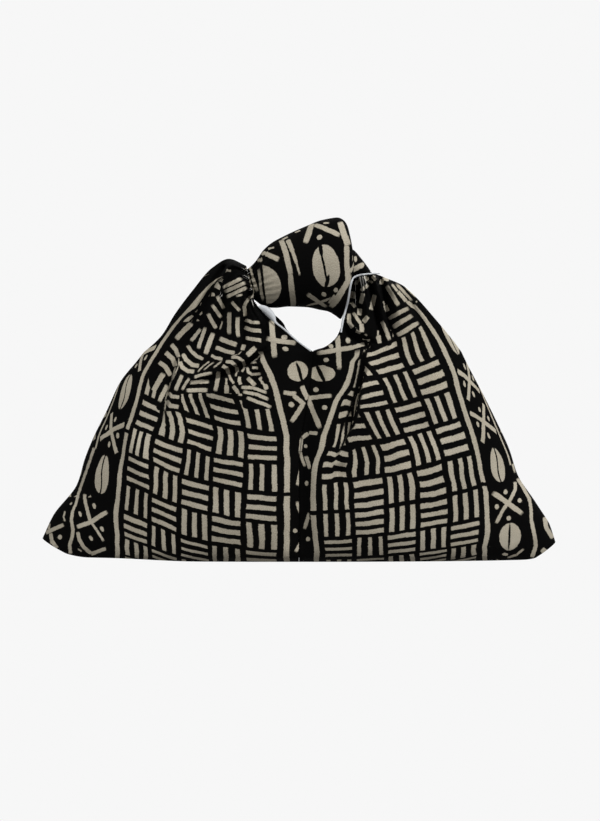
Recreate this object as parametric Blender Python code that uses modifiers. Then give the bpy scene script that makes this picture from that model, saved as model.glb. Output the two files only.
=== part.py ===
"""A soft cloth knot bag that stands on its flattened base.

Two folded cloth halves meet in a seam down the middle of the front and of the back. Above the mouth each half narrows
to a gathered neck. The left neck runs into a wide knot wrap, the right neck into the tip that the wrap goes round,
and the gap under the knot is the hand opening. Metres, +Z up, X across the bag, the front faces -Y.
"""

import math

import bmesh
import bpy
from mathutils import Vector

# Overall sizes
BAG_WIDTH = 0.515
BAG_HEIGHT = 0.340
MOUTH_HEIGHT = 0.2065
BODY_DEPTH = 0.092
KNOT_DEPTH = 0.058

# Cloth
CLOTH_WALL = 0.0018
SEAM_GAP = 0.0004

# Base
LEFT_CORNER_LIFT = 0.0135
LEFT_CORNER_REACH = 0.048
RIGHT_CORNER_LIFT = 0.0165
RIGHT_CORNER_REACH = 0.037
LEFT_RISE = 0.003
LEFT_RISE_START = 0.100
LEFT_RISE_REACH = 0.090

# Seam and folds
SEAM_LEAN = 0.0135
SEAM_VALLEY = 0.009
SEAM_VALLEY_WIDTH = 0.013
GATHER_HEIGHT = 0.0024
GATHERS_PER_FACE = 3.5

# Fineness of the meshes
PANEL_COLUMNS = 40
PANEL_ROWS = 22
FOOT_ROWS = 2
ROW_SPREAD = 1.15
WRAP_SIDES = 28
WRAP_ROWS = 24
TIP_SIDES = 18
TIP_ROWS = 8
FOLD_SAMPLES = 14

LEFT = -1
RIGHT = 1
FRONT = -1
BACK = 1
HALF_WIDTH = BAG_WIDTH / 2


def table(columns, *rows):
    """Rows of numbers as dictionaries with named columns."""
    return [dict(zip(columns, row)) for row in rows]


# Rows of the cloth, from the bottom corner to the neck. cloth is the height of the row at the middle seam, as a share
# of the mouth's height, and side_x and side_rise are where it reaches the bag's outline. x is a share of half the
# width, and a rise is 0 on the floor, 1 at the mouth and 2 at the top of the knot.
ROW_COLUMNS = ("cloth", "side_x", "side_rise")
LEFT_ROWS = table(
    ROW_COLUMNS,
    (-0.239, 1.000, 0.096),
    (-0.096, 0.957, 0.208),
    (0.067, 0.864, 0.359),
    (0.211, 0.833, 0.483),
    (0.330, 0.798, 0.589),
    (0.469, 0.748, 0.713),
    (0.617, 0.693, 0.856),
    (0.761, 0.619, 0.971),
    (0.885, 0.534, 1.119),
    (1.000, 0.480, 1.284),
    (1.124, 0.410, 1.463),
    (1.234, 0.336, 1.627),
    (1.340, 0.270, 1.694),
    (1.435, 0.204, 1.642),
)
RIGHT_ROWS = table(
    ROW_COLUMNS,
    (-0.350, 1.000, 0.078),
    (0.000, 0.977, 0.163),
    (0.115, 0.918, 0.278),
    (0.230, 0.852, 0.402),
    (0.359, 0.817, 0.531),
    (0.488, 0.767, 0.665),
    (0.622, 0.713, 0.799),
    (0.756, 0.654, 0.938),
    (0.880, 0.592, 1.097),
    (1.000, 0.511, 1.284),
    (1.110, 0.452, 1.410),
    (1.206, 0.398, 1.500),
    (1.316, 0.344, 1.545),
    (1.426, 0.305, 1.575),
    (1.507, 0.278, 1.590),
)

# The opening edge above the mouth, from the notch at the seam up to the neck.
EDGE_COLUMNS = ("cloth", "edge_x", "edge_rise")
LEFT_EDGE = table(
    EDGE_COLUMNS,
    (1.000, -0.052, 1.000),
    (1.062, 0.006, 1.082),
    (1.124, 0.060, 1.172),
    (1.182, 0.091, 1.254),
    (1.234, 0.130, 1.306),
    (1.340, 0.161, 1.343),
    (1.435, 0.169, 1.358),
)
RIGHT_EDGE = table(
    EDGE_COLUMNS,
    (1.000, 0.052, 1.000),
    (1.055, 0.105, 1.040),
    (1.110, 0.150, 1.118),
    (1.206, 0.172, 1.212),
    (1.316, 0.188, 1.310),
    (1.426, 0.201, 1.440),
    (1.507, 0.207, 1.560),
)

# How far the front and back stand from the middle, as a share of half the depth, at each rise.
DEPTH_COLUMNS = ("rise", "depth")
DEPTHS = table(
    DEPTH_COLUMNS,
    (0.00, 0.62),
    (0.03, 0.77),
    (0.08, 0.88),
    (0.16, 0.96),
    (0.27, 1.00),
    (0.45, 0.98),
    (0.62, 0.91),
    (0.81, 0.78),
    (1.00, 0.60),
    (1.23, 0.50),
    (1.45, 0.42),
    (1.70, 0.38),
)

# How much of that depth the cloth keeps at its opening edge, so that each neck closes.
LIP_COLUMNS = ("cloth", "kept")
LIPS = table(
    LIP_COLUMNS,
    (1.00, 1.00),
    (1.15, 0.86),
    (1.30, 0.45),
    (1.44, 0.22),
    (1.51, 0.30),
)

# Folds of the front, each a bent line in the front view. The heights are shares of half the depth, the widths shares
# of half the bag's width: near_width lies on the side of the seam, far_width towards the bag's side.
FOLD_COLUMNS = (
    "top_x", "top_rise", "bend_x", "bend_rise", "foot_x", "foot_rise", "near_width", "far_width", "height",
)
LEFT_FOLDS = table(
    FOLD_COLUMNS,
    (0.35, 1.55, 0.42, 1.35, 0.47, 1.02, 0.030, 0.030, -0.17),
    (0.29, 1.42, 0.33, 1.20, 0.31, 1.02, 0.026, 0.022, -0.14),
    (0.30, 1.50, 0.38, 1.20, 0.42, 0.94, 0.024, 0.026, 0.14),
    (0.45, 1.00, 0.53, 0.85, 0.54, 0.58, 0.030, 0.024, -0.15),
    (0.14, 1.01, 0.29, 1.03, 0.42, 0.89, 0.036, 0.036, -0.20),
    (0.16, 0.93, 0.28, 0.94, 0.40, 0.80, 0.045, 0.055, 0.16),
    (0.14, 1.24, 0.13, 1.12, 0.13, 1.00, 0.020, 0.030, 0.14),
)
RIGHT_FOLDS = table(
    FOLD_COLUMNS,
    (0.34, 1.50, 0.28, 1.10, 0.19, 0.56, 0.024, 0.110, 0.26),
    (0.25, 1.45, 0.22, 1.05, 0.13, 0.50, 0.040, 0.030, -0.24),
    (0.45, 1.20, 0.46, 0.90, 0.40, 0.60, 0.040, 0.040, -0.07),
    (0.40, 1.05, 0.34, 0.85, 0.28, 0.62, 0.030, 0.030, -0.06),
)
BACK_FOLDS = table(
    FOLD_COLUMNS,
    (0.28, 1.48, 0.34, 1.15, 0.36, 0.70, 0.034, 0.040, -0.17),
    (0.34, 1.44, 0.46, 1.10, 0.54, 0.62, 0.036, 0.036, -0.12),
    (0.23, 1.38, 0.22, 1.05, 0.20, 0.62, 0.030, 0.030, -0.12),
)

# Sections of the knot wrap, from inside the left neck to its open right end. x is a share of half the bag's width.
WRAP_COLUMNS = ("top_x", "top_rise", "foot_x", "foot_rise", "depth")
WRAP_SECTIONS = table(
    WRAP_COLUMNS,
    (-0.212, 1.585, -0.196, 1.440, 0.32),
    (-0.190, 1.618, -0.170, 1.398, 0.435),
    (-0.166, 1.670, -0.148, 1.362, 0.56),
    (-0.138, 1.752, -0.120, 1.336, 0.74),
    (-0.104, 1.812, -0.086, 1.330, 0.83),
    (-0.060, 1.860, -0.039, 1.338, 0.89),
    (0.020, 1.930, 0.026, 1.334, 0.97),
    (0.090, 1.982, 0.080, 1.314, 1.00),
    (0.146, 2.000, 0.112, 1.302, 0.97),
    (0.172, 1.980, 0.140, 1.272, 0.90),
    (0.188, 1.930, 0.160, 1.246, 0.78),
    (0.194, 1.860, 0.170, 1.290, 0.66),
    (0.170, 1.820, 0.148, 1.385, 0.58),
)
WRAP_BELLY = 0.026
WRAP_WRINKLE = 0.0007

# Sections of the tip, from inside the wrap over to its end inside the right neck.
TIP_SECTIONS = table(
    WRAP_COLUMNS,
    (0.112, 1.740, 0.104, 1.500, 0.34),
    (0.152, 1.800, 0.142, 1.420, 0.555),
    (0.206, 1.765, 0.180, 1.500, 0.555),
    (0.243, 1.690, 0.210, 1.585, 0.50),
    (0.266, 1.612, 0.226, 1.592, 0.44),
)


def smooth(x):
    """0 below 0, 1 above 1, and an even curve between."""
    x = min(1.0, max(0.0, x))
    return x * x * (3 - 2 * x)


def lookup(rows, key, value, at):
    """The value column at a place on the key column, along a curve through the rows that doesn't overshoot."""
    keys = [row[key] for row in rows]
    values = [row[value] for row in rows]
    if at <= keys[0]:
        return values[0]
    if at >= keys[-1]:
        return values[-1]
    slopes = [(values[i + 1] - values[i]) / (keys[i + 1] - keys[i]) for i in range(len(keys) - 1)]
    tangents = [slopes[0]]
    for before, after in zip(slopes, slopes[1:]):
        tangents.append(0.0 if before * after <= 0 else 2 * before * after / (before + after))
    tangents.append(slopes[-1])
    i = max(k for k in range(len(keys) - 1) if keys[k] <= at)
    span = keys[i + 1] - keys[i]
    t = (at - keys[i]) / span
    start = (1 + 2 * t) * (1 - t) ** 2 * values[i] + t * (1 - t) ** 2 * span * tangents[i]
    end = t * t * (3 - 2 * t) * values[i + 1] + t * t * (t - 1) * span * tangents[i + 1]
    return start + end


def height_of(rise):
    """Height above the floor: rise 0 is the floor, 1 the mouth and 2 the top of the knot."""
    if rise <= 1:
        return rise * MOUTH_HEIGHT
    return MOUTH_HEIGHT + (rise - 1) * (BAG_HEIGHT - MOUTH_HEIGHT)


def rise_of(height):
    if height <= MOUTH_HEIGHT:
        return height / MOUTH_HEIGHT
    return 1 + (height - MOUTH_HEIGHT) / (BAG_HEIGHT - MOUTH_HEIGHT)


def seam_x(cloth):
    """The middle seam leans a little to the right just under the mouth."""
    return SEAM_LEAN * smooth((cloth - 0.45) / 0.55)


def bottom_of(x):
    """The base is flat, its two corners lift off the floor, and its left end rises a little before the corner."""
    if x < 0:
        lift, reach, power = LEFT_CORNER_LIFT, LEFT_CORNER_REACH, 1.7
    else:
        lift, reach, power = RIGHT_CORNER_LIFT, RIGHT_CORNER_REACH, 2.6
    past = max(0.0, abs(x) - (HALF_WIDTH - reach))
    return lift * (past / reach) ** power + LEFT_RISE * smooth((-x - LEFT_RISE_START) / LEFT_RISE_REACH)


def fold_line(fold):
    """Points along a fold, a curve from its top over its bend to its foot, in the front view."""
    top = Vector((fold["top_x"] * HALF_WIDTH, height_of(fold["top_rise"])))
    foot = Vector((fold["foot_x"] * HALF_WIDTH, height_of(fold["foot_rise"])))
    bend = Vector((fold["bend_x"] * HALF_WIDTH, height_of(fold["bend_rise"])))
    points = []
    for i in range(FOLD_SAMPLES + 1):
        t = i / FOLD_SAMPLES
        points.append((1 - t) ** 2 * top + 2 * t * (1 - t) * bend + t * t * foot)
    return points


def fold_height(folds, out, height):
    """How far the folds push the cloth out at one place of the front view. out is the distance from the middle."""
    place = Vector((out, height))
    total = 0.0
    for fold in folds:
        points = fold["line"]
        nearest = min(range(len(points)), key=lambda i: (points[i] - place).length)
        along = nearest / FOLD_SAMPLES
        away = place - points[nearest]
        far_side = away.x > 0
        width = fold["far_width" if far_side else "near_width"] * HALF_WIDTH
        fade = smooth(along / 0.2) * smooth((1 - along) / 0.3)
        total += fold["height"] * BODY_DEPTH / 2 * fade * math.exp(-((away.length / width) ** 2))
    return total


for each_table in (LEFT_FOLDS, RIGHT_FOLDS, BACK_FOLDS):
    for each_fold in each_table:
        each_fold["line"] = fold_line(each_fold)


def across_of(round_share):
    """How far across the cloth a column lies: the columns crowd towards the side fold."""
    toward_side = 1 - abs(2 * round_share - 1)
    return 1 - (1 - toward_side) ** 1.5


class Half:
    """One folded half of the bag, left or right of the middle seam."""

    def __init__(self, side):
        self.side = side
        self.rows = LEFT_ROWS if side == LEFT else RIGHT_ROWS
        self.edge = LEFT_EDGE if side == LEFT else RIGHT_EDGE
        self.front_folds = LEFT_FOLDS if side == LEFT else RIGHT_FOLDS
        self.top = self.rows[-1]["cloth"]

    def edge_of(self, cloth):
        """Distance from the middle, and height, of the seam or opening edge on a row of the cloth."""
        if cloth <= 1:
            return self.side * seam_x(cloth) + SEAM_GAP / 2, cloth * MOUTH_HEIGHT
        x = lookup(self.edge, "cloth", "edge_x", cloth) * HALF_WIDTH
        return x + SEAM_GAP / 2, height_of(lookup(self.edge, "cloth", "edge_rise", cloth))

    def front_view(self, across, cloth):
        """Distance from the middle, and height, of a place on the cloth. across is 0 at the edge, 1 at the side."""
        edge_out, edge_z = self.edge_of(cloth)
        side_out = lookup(self.rows, "cloth", "side_x", cloth) * HALF_WIDTH
        side_z = height_of(lookup(self.rows, "cloth", "side_rise", cloth))
        bow = 2 - smooth((cloth - 1) / 0.4)
        return edge_out + (side_out - edge_out) * across, edge_z + (side_z - edge_z) * across**bow

    def lowest_cloth(self, across):
        """The row of the cloth that lies on the base's edge."""
        low, high = self.rows[0]["cloth"], self.top
        for _ in range(24):
            middle = (low + high) / 2
            out, height = self.front_view(across, middle)
            low, high = (middle, high) if height < bottom_of(self.side * out) else (low, middle)
        return high

    def depth(self, across, cloth, face, out, height):
        """How far the cloth stands from the bag's middle plane."""
        half_depth = lookup(DEPTHS, "rise", "depth", rise_of(height)) * BODY_DEPTH / 2
        rounding = math.sqrt(max(0.0, 1 - across**2.4))
        lip = lookup(LIPS, "cloth", "kept", cloth)
        lip += (1 - lip) * smooth(across / 0.45)
        depth = half_depth * rounding * lip
        edge_out, _ = self.edge_of(cloth)
        valley = SEAM_VALLEY * (1 - smooth((cloth - 0.9) / 0.15)) * smooth(height / 0.03)
        depth -= valley * math.exp(-(((out - edge_out) / SEAM_VALLEY_WIDTH) ** 2))
        folds = self.front_folds if face == FRONT else BACK_FOLDS
        depth += fold_height(folds, out, height) * rounding
        near_neck = smooth((cloth - 0.95) / (self.top - 0.95))
        wave = math.cos(2 * math.pi * GATHERS_PER_FACE * across + face)
        return depth + GATHER_HEIGHT * near_neck * wave * rounding

    def spot(self, across, cloth, face, drop=1.0):
        """A place on the outer surface. drop narrows the depth under the base, where front and back meet."""
        out, height = self.front_view(across, cloth)
        height = max(height, bottom_of(self.side * out))
        depth = max(0.0, self.depth(across, cloth, face, out, height))
        return Vector((self.side * out, face * depth * drop, height))

    def point(self, across, up, face):
        """The same, with up from 0 at the fold under the base to 1 at the neck."""
        foot_share = FOOT_ROWS / PANEL_ROWS
        lowest = self.lowest_cloth(across)
        climb = max(0.0, (up - foot_share) / (1 - foot_share))
        cloth = lowest + (self.top - lowest) * climb**ROW_SPREAD
        return self.spot(across, cloth, face, min(1.0, up / foot_share))

    def surface(self, round_share, up):
        """The same, with round_share from one edge over the side fold at 0.5 to the other, so that it faces out."""
        if self.side == LEFT:
            round_share = 1 - round_share
        face = FRONT if round_share < 0.5 else BACK
        return self.point(across_of(round_share), up, face)


def new_material(name, color, roughness):
    """A plain cloth colour for a piece."""
    material = bpy.data.materials.new(name)
    material.use_nodes = True
    shader = material.node_tree.nodes["Principled BSDF"]
    shader.inputs["Base Color"].default_value = (*color, 1.0)
    shader.inputs["Roughness"].default_value = roughness
    shader.inputs["Metallic"].default_value = 0.0
    return material


def cloth_sheet(name, place, columns, rows, material):
    """A cloth piece: a grid laid over a surface, whose wall goes inwards from it.

    place(u, v) gives the surface for u and v from 0 to 1. Places that meet are joined, as round a tube and along the
    fold under the base.
    """
    mesh = bpy.data.meshes.new(name)
    grid = bmesh.new()
    bmesh.ops.create_grid(grid, x_segments=columns, y_segments=rows, size=0.5)
    for vertex in grid.verts:
        vertex.co = place(vertex.co.x + 0.5, vertex.co.y + 0.5)
    bmesh.ops.remove_doubles(grid, verts=grid.verts, dist=1e-6)
    grid.to_mesh(mesh)
    grid.free()
    mesh.materials.append(material)
    sheet = bpy.data.objects.new(name, mesh)
    parts.objects.link(sheet)
    wall = sheet.modifiers.new("wall", "SOLIDIFY")
    wall.thickness = CLOTH_WALL
    wall.offset = -1
    wall.use_even_offset = False
    mesh.shade_smooth()
    return sheet


def section_at(sections, share):
    """One section between the rows of a table of sections, along a smooth curve through them."""
    place = share * (len(sections) - 1)
    numbered = [dict(row, number=i) for i, row in enumerate(sections)]
    return {column: lookup(numbered, "number", column, place) for column in WRAP_COLUMNS}


def tube_point(sections, round_share, share, belly, wrinkle):
    """A place on a wide soft tube through a table of sections. The front is passed first, from the top down."""
    section = section_at(sections, share)
    top = Vector((section["top_x"] * HALF_WIDTH, height_of(section["top_rise"])))
    foot = Vector((section["foot_x"] * HALF_WIDTH, height_of(section["foot_rise"])))
    angle = 2 * math.pi * round_share
    middle = (top + foot) / 2
    half = (top - foot) / 2
    bulge = belly * HALF_WIDTH * math.sin(angle) ** 2 * smooth((share - 0.5) / 0.25)
    ripple = 1 + wrinkle / half.length * math.cos(7 * angle) * (1 - smooth(share / 0.45))
    spot = middle + half * math.cos(angle) * ripple
    depth = section["depth"] * KNOT_DEPTH / 2 * math.sin(angle) * ripple
    return Vector((spot.x + bulge, -depth, spot.y))


bpy.ops.object.select_all(action="DESELECT")
for old in list(bpy.data.objects):
    bpy.data.objects.remove(old, do_unlink=True)

parts = bpy.data.collections.new("knot_bag")
bpy.context.scene.collection.children.link(parts)

printed_cloth = new_material("printed_cloth", (0.012, 0.011, 0.010), 0.9)

left_half = Half(LEFT)
right_half = Half(RIGHT)

for half_name, half in (("left_half", left_half), ("right_half", right_half)):
    cloth_sheet(half_name, half.surface, PANEL_COLUMNS, PANEL_ROWS, printed_cloth)

cloth_sheet(
    "knot_wrap",
    lambda u, v: tube_point(WRAP_SECTIONS, u, v, WRAP_BELLY, WRAP_WRINKLE),
    WRAP_SIDES,
    WRAP_ROWS,
    printed_cloth,
)
cloth_sheet(
    "knot_tip",
    lambda u, v: tube_point(TIP_SECTIONS, u, v, 0.0, 0.0),
    TIP_SIDES,
    TIP_ROWS,
    printed_cloth,
)
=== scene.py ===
import math

import bpy
import numpy as np
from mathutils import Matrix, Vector, noise


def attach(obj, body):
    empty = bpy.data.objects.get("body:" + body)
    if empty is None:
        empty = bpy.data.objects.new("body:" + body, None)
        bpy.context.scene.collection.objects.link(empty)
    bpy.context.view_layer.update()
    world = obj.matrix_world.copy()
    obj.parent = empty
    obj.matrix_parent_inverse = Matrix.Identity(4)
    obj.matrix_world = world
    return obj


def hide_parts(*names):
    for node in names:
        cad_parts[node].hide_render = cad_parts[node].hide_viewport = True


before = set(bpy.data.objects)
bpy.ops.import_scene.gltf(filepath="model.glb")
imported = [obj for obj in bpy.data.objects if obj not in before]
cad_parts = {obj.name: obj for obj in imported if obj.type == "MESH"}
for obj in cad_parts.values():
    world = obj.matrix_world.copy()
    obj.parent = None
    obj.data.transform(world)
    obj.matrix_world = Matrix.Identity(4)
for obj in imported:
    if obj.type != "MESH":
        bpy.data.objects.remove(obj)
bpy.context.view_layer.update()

# What a user would change: lengths in metres, and counts, shares and powers
bag = {
    "width": 0.515,
    "height": 0.340,
    "mouthHeight": 0.2065,
    "depth": 0.092,
    "wall": 0.0018,
    "leftCorner": (0.0135, 0.048, 1.7),
    "rightCorner": (0.0165, 0.037, 2.6),
    "leftRise": (0.003, 0.100, 0.090),
    "seamLean": 0.0135,
    "seamValley": 0.010,
    "seamValleyWidth": 0.012,
    "gatherHeight": 0.0018,
    "wrinkleHeight": 0.0011,
    "frontColumns": 140,
    "backColumns": 80,
    "rows": 200,
    "footRows": 8,
    "backEdgeReach": 0.008,
    "turnedIn": 22,
    "frontSpacing": 1.35,
    "backSpacing": 1.5,
    "rowSpacing": 1.15,
    "roundness": 2.4,
    "seamGap": 0.0001,
    "lapOver": 0.001,
    "lapDepth": 0.0024,
    "lapTop": 1.05,
    # Each gather's count across the half, shift and share of the height, and each wrinkle's size, seed and share
    "gathers": ((6, 1, 1.0), (11, 2, 0.6)),
    "wrinkles": ((0.05, 3, 1.0), (0.022, 7, 0.5)),
}
studio = {
    "sky": 0.21,
    "suns": [
        ("keyLight", (0.75, -0.95, 1.35), 12, 3.25),
        ("fillLight", (-0.5, -1.2, 0.4), 40, 0.35),
        ("backLight", (0.3, 1.2, 0.9), 30, 1.6),
    ],
    "distance": 1.5,
    "elevation": 3.0,
    "photo": (600, 821),
    "floorLine": 558.5,
    "middleColumn": 299,
    "sensor": 36.0,
    "aimRight": 0.001,
    "roomRadius": 7,
    "roomHeight": 9,
    "floorDrop": 0.0005,
    "roomGlow": 0.93,
}
halfWidth = bag["width"] / 2
halfDepth = bag["depth"] / 2
targetHeight = (studio["floorLine"] - studio["photo"][1] / 2) / 1000
tilt = math.radians(studio["elevation"])


def rowsOf(columns, *rows):
    return [dict(zip(columns.split(), row)) for row in rows]


# A row of the cloth: its height at the middle seam, as a share of the mouth's height, and where it meets the outline.
# x is a share of half the width. A rise is 0 on the floor, 1 at the mouth and 2 at the top of the knot.
leftRows = rowsOf(
    "cloth sideX sideRise", (-0.239, 1, 0.096), (-0.096, 0.957, 0.208), (0.067, 0.864, 0.359),
    (0.211, 0.833, 0.483), (0.33, 0.798, 0.589), (0.469, 0.748, 0.713), (0.617, 0.693, 0.856),
    (0.761, 0.619, 0.971), (0.885, 0.534, 1.119), (1, 0.48, 1.284), (1.124, 0.41, 1.463), (1.234, 0.336, 1.627),
    (1.34, 0.27, 1.694), (1.435, 0.204, 1.642),
)
rightRows = rowsOf(
    "cloth sideX sideRise", (-0.35, 1, 0.078), (0, 0.977, 0.163), (0.115, 0.918, 0.278), (0.23, 0.852, 0.402),
    (0.359, 0.817, 0.531), (0.488, 0.767, 0.665), (0.622, 0.713, 0.799), (0.756, 0.654, 0.938),
    (0.88, 0.592, 1.097), (1, 0.511, 1.284), (1.11, 0.452, 1.41), (1.206, 0.398, 1.5), (1.316, 0.344, 1.545),
    (1.426, 0.305, 1.575), (1.507, 0.278, 1.59),
)
leftEdge = rowsOf(
    "cloth edgeX edgeRise", (1, -0.052, 1), (1.062, 0.006, 1.082), (1.124, 0.06, 1.172), (1.182, 0.091, 1.215),
    (1.234, 0.13, 1.28), (1.34, 0.161, 1.325), (1.435, 0.169, 1.34),
)
rightEdge = rowsOf(
    "cloth edgeX edgeRise", (1, 0.052, 1), (1.055, 0.105, 1.04), (1.11, 0.15, 1.118), (1.206, 0.172, 1.212),
    (1.316, 0.188, 1.31), (1.426, 0.201, 1.44), (1.507, 0.207, 1.56),
)
depthRows = rowsOf(
    "rise depth", (0, 0.62), (0.03, 0.77), (0.08, 0.88), (0.16, 0.96), (0.27, 1), (0.45, 0.98), (0.62, 0.91),
    (0.81, 0.78), (1, 0.6), (1.23, 0.5), (1.45, 0.42), (1.7, 0.38),
)
lipRows = rowsOf("cloth kept", (1.00, 1.00), (1.15, 0.86), (1.30, 0.45), (1.44, 0.22), (1.51, 0.30))

# The folds: top, bend and foot in the front view, the width below or towards the seam, the width above or towards
# the side, the height as a share of half the depth, how far the crest leans over, as a share of half the width, and
# how much of the gathered cloth is tucked away in the fold. The last two are left out where they are 0.
foldColumns = "topX topRise bendX bendRise footX footRise nearWidth farWidth height lean tuck"
leftFolds = rowsOf(
    foldColumns, (0.291, 1.627, 0.373, 1.366, 0.47, 0.981, 0.016, 0.016, -0.28, 0, 1),
    (0.252, 1.672, 0.4, 1.328, 0.563, 0.962, 0.035, 0.035, 0.18),
    (0.237, 1.53, 0.338, 1.313, 0.416, 1, 0.023, 0.016, 0.15, 0.008),
    (0.276, 1.463, 0.299, 1.269, 0.353, 0.981, 0.01, 0.01, -0.18, 0, 0.8),
    (0.206, 1.478, 0.26, 1.254, 0.268, 1, 0.023, 0.019, 0.11),
    (0.19, 1.448, 0.217, 1.224, 0.229, 0.952, 0.01, 0.01, -0.15, 0, 0.7),
    (0.159, 1.418, 0.163, 1.239, 0.167, 0.981, 0.027, 0.023, 0.13),
    (0.458, 1.052, 0.501, 0.847, 0.528, 0.617, 0.01, 0.016, -0.13, 0, 1.5),
    (0.447, 1.052, 0.485, 0.847, 0.509, 0.617, 0.054, 0.012, 0.13, 0.004),
    (0.089, 1.03, 0.229, 0.933, 0.478, 0.799, 0.019, 0.01, -0.18, 0, 0.6),
    (0.089, 1.09, 0.245, 0.971, 0.493, 0.818, 0.012, 0.093, 0.18, -0.023),
    (0.159, 0.904, 0.276, 0.856, 0.4, 0.77, 0.058, 0.023, 0.15),
    (0.136, 0.952, 0.183, 0.866, 0.217, 0.761, 0.014, 0.014, -0.15, 0, 0.4),
    (0.136, 1.313, 0.124, 1.149, 0.136, 0.962, 0.01, 0.01, -0.11, 0, 0.5),
    (0.361, 0.847, 0.4, 0.675, 0.392, 0.445, 0.035, 0.047, -0.09),
    (0.672, 0.713, 0.617, 0.512, 0.548, 0.244, 0.047, 0.047, 0.07),
    (0.291, 0.809, 0.361, 0.627, 0.338, 0.388, 0.035, 0.047, -0.07),
    (0.144, 0.809, 0.19, 0.675, 0.206, 0.435, 0.047, 0.035, 0.07),
)
rightFolds = rowsOf(
    foldColumns, (0.276, 1, 0.268, 0.78, 0.136, 0.455, 0.014, 0.07, 0.22, -0.019),
    (0.252, 1.052, 0.241, 0.799, 0.105, 0.474, 0.031, 0.012, -0.22, 0, 1),
    (0.144, 1.284, 0.241, 1.201, 0.338, 1.015, 0.012, 0.054, 0.18, -0.019),
    (0.144, 1.224, 0.225, 1.142, 0.307, 0.971, 0.019, 0.01, -0.15, 0, 0.5),
    (0.221, 1.567, 0.237, 1.343, 0.26, 1.119, 0.011, 0.011, -0.2, 0, 0.8),
    (0.268, 1.575, 0.291, 1.313, 0.338, 0.952, 0.011, 0.011, -0.26, 0, 1),
    (0.315, 1.567, 0.338, 1.351, 0.369, 0.952, 0.011, 0.011, -0.22, 0, 0.8),
    (0.245, 1.552, 0.26, 1.343, 0.283, 1.104, 0.016, 0.012, 0.11),
    (0.291, 1.56, 0.315, 1.351, 0.346, 1.015, 0.016, 0.012, 0.15),
    (0.338, 1.567, 0.384, 1.351, 0.423, 0.933, 0.023, 0.047, 0.2),
    (0.369, 1.537, 0.439, 1.358, 0.524, 1.045, 0.01, 0.01, -0.13, 0, 0.5),
    (0.4, 1.522, 0.493, 1.343, 0.602, 1.015, 0.01, 0.01, -0.11, 0, 0.4),
    (0.237, 0.818, 0.206, 0.665, 0.136, 0.502, 0.012, 0.012, -0.11, 0, 0.3),
    (0.439, 0.818, 0.454, 0.579, 0.392, 0.388, 0.047, 0.047, -0.09),
    (0.175, 0.493, 0.148, 0.426, 0.105, 0.321, 0.019, 0.016, -0.11),
    (0.617, 0.77, 0.641, 0.502, 0.649, 0.215, 0.047, 0.047, 0.07),
    (0.532, 1.015, 0.517, 0.77, 0.532, 0.531, 0.039, 0.047, 0.07),
)
backFolds = rowsOf(
    foldColumns, (0.28, 1.48, 0.34, 1.15, 0.36, 0.7, 0.03, 0.034, -0.22, 0, 0.3),
    (0.3, 1.5, 0.4, 1.15, 0.42, 0.66, 0.02, 0.04, 0.16, -0.012, 0.3),
    (0.34, 1.5, 0.46, 1.2, 0.56, 0.7, 0.03, 0.03, -0.16, 0, 0.3),
    (0.24, 1.5, 0.25, 1.15, 0.26, 0.8, 0.014, 0.018, 0.16, 0.01, 0.3),
    (0.22, 1.42, 0.2, 1.1, 0.18, 0.7, 0.02, 0.02, -0.18, 0, 0.3),
    (0.27, 1.52, 0.3, 1.3, 0.31, 1.05, 0.01, 0.01, -0.1, 0, 0.3),
)

# Where the long stripes of the print run: height above the floor and distance from the middle, in millimetres
leftInner = rowsOf(
    "height away", (0, 12), (84, 11.6), (111, 12), (135, 14.6), (161, 21.5), (184, 28.4), (204, 38.3),
    (255, 48), (296, 52),
)
leftOuter = rowsOf(
    "height away", (0, 181), (39, 182.5), (79, 179.3), (111, 174.5), (128, 171.3), (140, 167.3), (159, 161.7),
    (178, 157), (197, 148), (216, 136), (236, 122), (259, 100), (280, 80), (290, 57), (298, 53),
)
rightInner = rowsOf(
    "height away", (0, 18), (60, 14), (84, 15), (111, 22), (135, 29), (157, 37), (172, 46.7), (186, 51.7),
    (196, 53.6), (203, 58.6), (220, 60), (230, 58), (238, 40), (260, 38), (288, 42),
)
rightOuter = rowsOf(
    "height away", (0, 185.5), (9, 186), (35, 188.5), (64, 186.8), (76, 184.2), (107, 178.2), (141, 167.8),
    (169, 159.2), (190, 153.2), (208, 145.4), (229, 133.4), (246, 121.3), (260, 108), (273, 93), (288, 74),
)
# Where the right half's long fold hides cloth, and how closely the print sits to its outer side
rightFold = rowsOf(
    "height away closeness", (95, 34, 1), (120, 47, 0.98), (141, 57, 0.96), (170, 62, 0.92), (202, 66, 0.81),
    (234, 82, 0.9), (250, 92, 0.9),
)
# The print's own layout, in millimetres of cloth
layout = {
    "basketStart": 6.0,
    "cell": 31.0,
    "cellRise": 29.0,
    "cellsAcross": 5,
    "stripeTwo": 167.0,
    "borderMiddle": 190.0,
    "stripeThree": 213.0,
    "repeat": 259.0,
    "stripeHalves": (2.8, 2.6, 1.9),
    "breakHalf": 1.8,
    "nextBorder": 46.0,
    "motifRise": 42.0,
    "underBottom": 26.0,
    "spentShare": 0.35,
    "spentRows": 26,
    "curl": 0.0045,
    "curlTop": 190,
    "curlHeight": 72,
    "foldDrop": 7,
    "clothWobble": 1.6,
    "seenWobble": 1.2,
    "broadAt": 232.0,
    "broadReach": 24.0,
    "broadBy": 2.6,
    "zoneMargin": 4.0,
    "zoneFoot": 60.0,
    "zoneDepth": 0.006,
    "bulge": (5.5, 142, 17),
}
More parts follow.
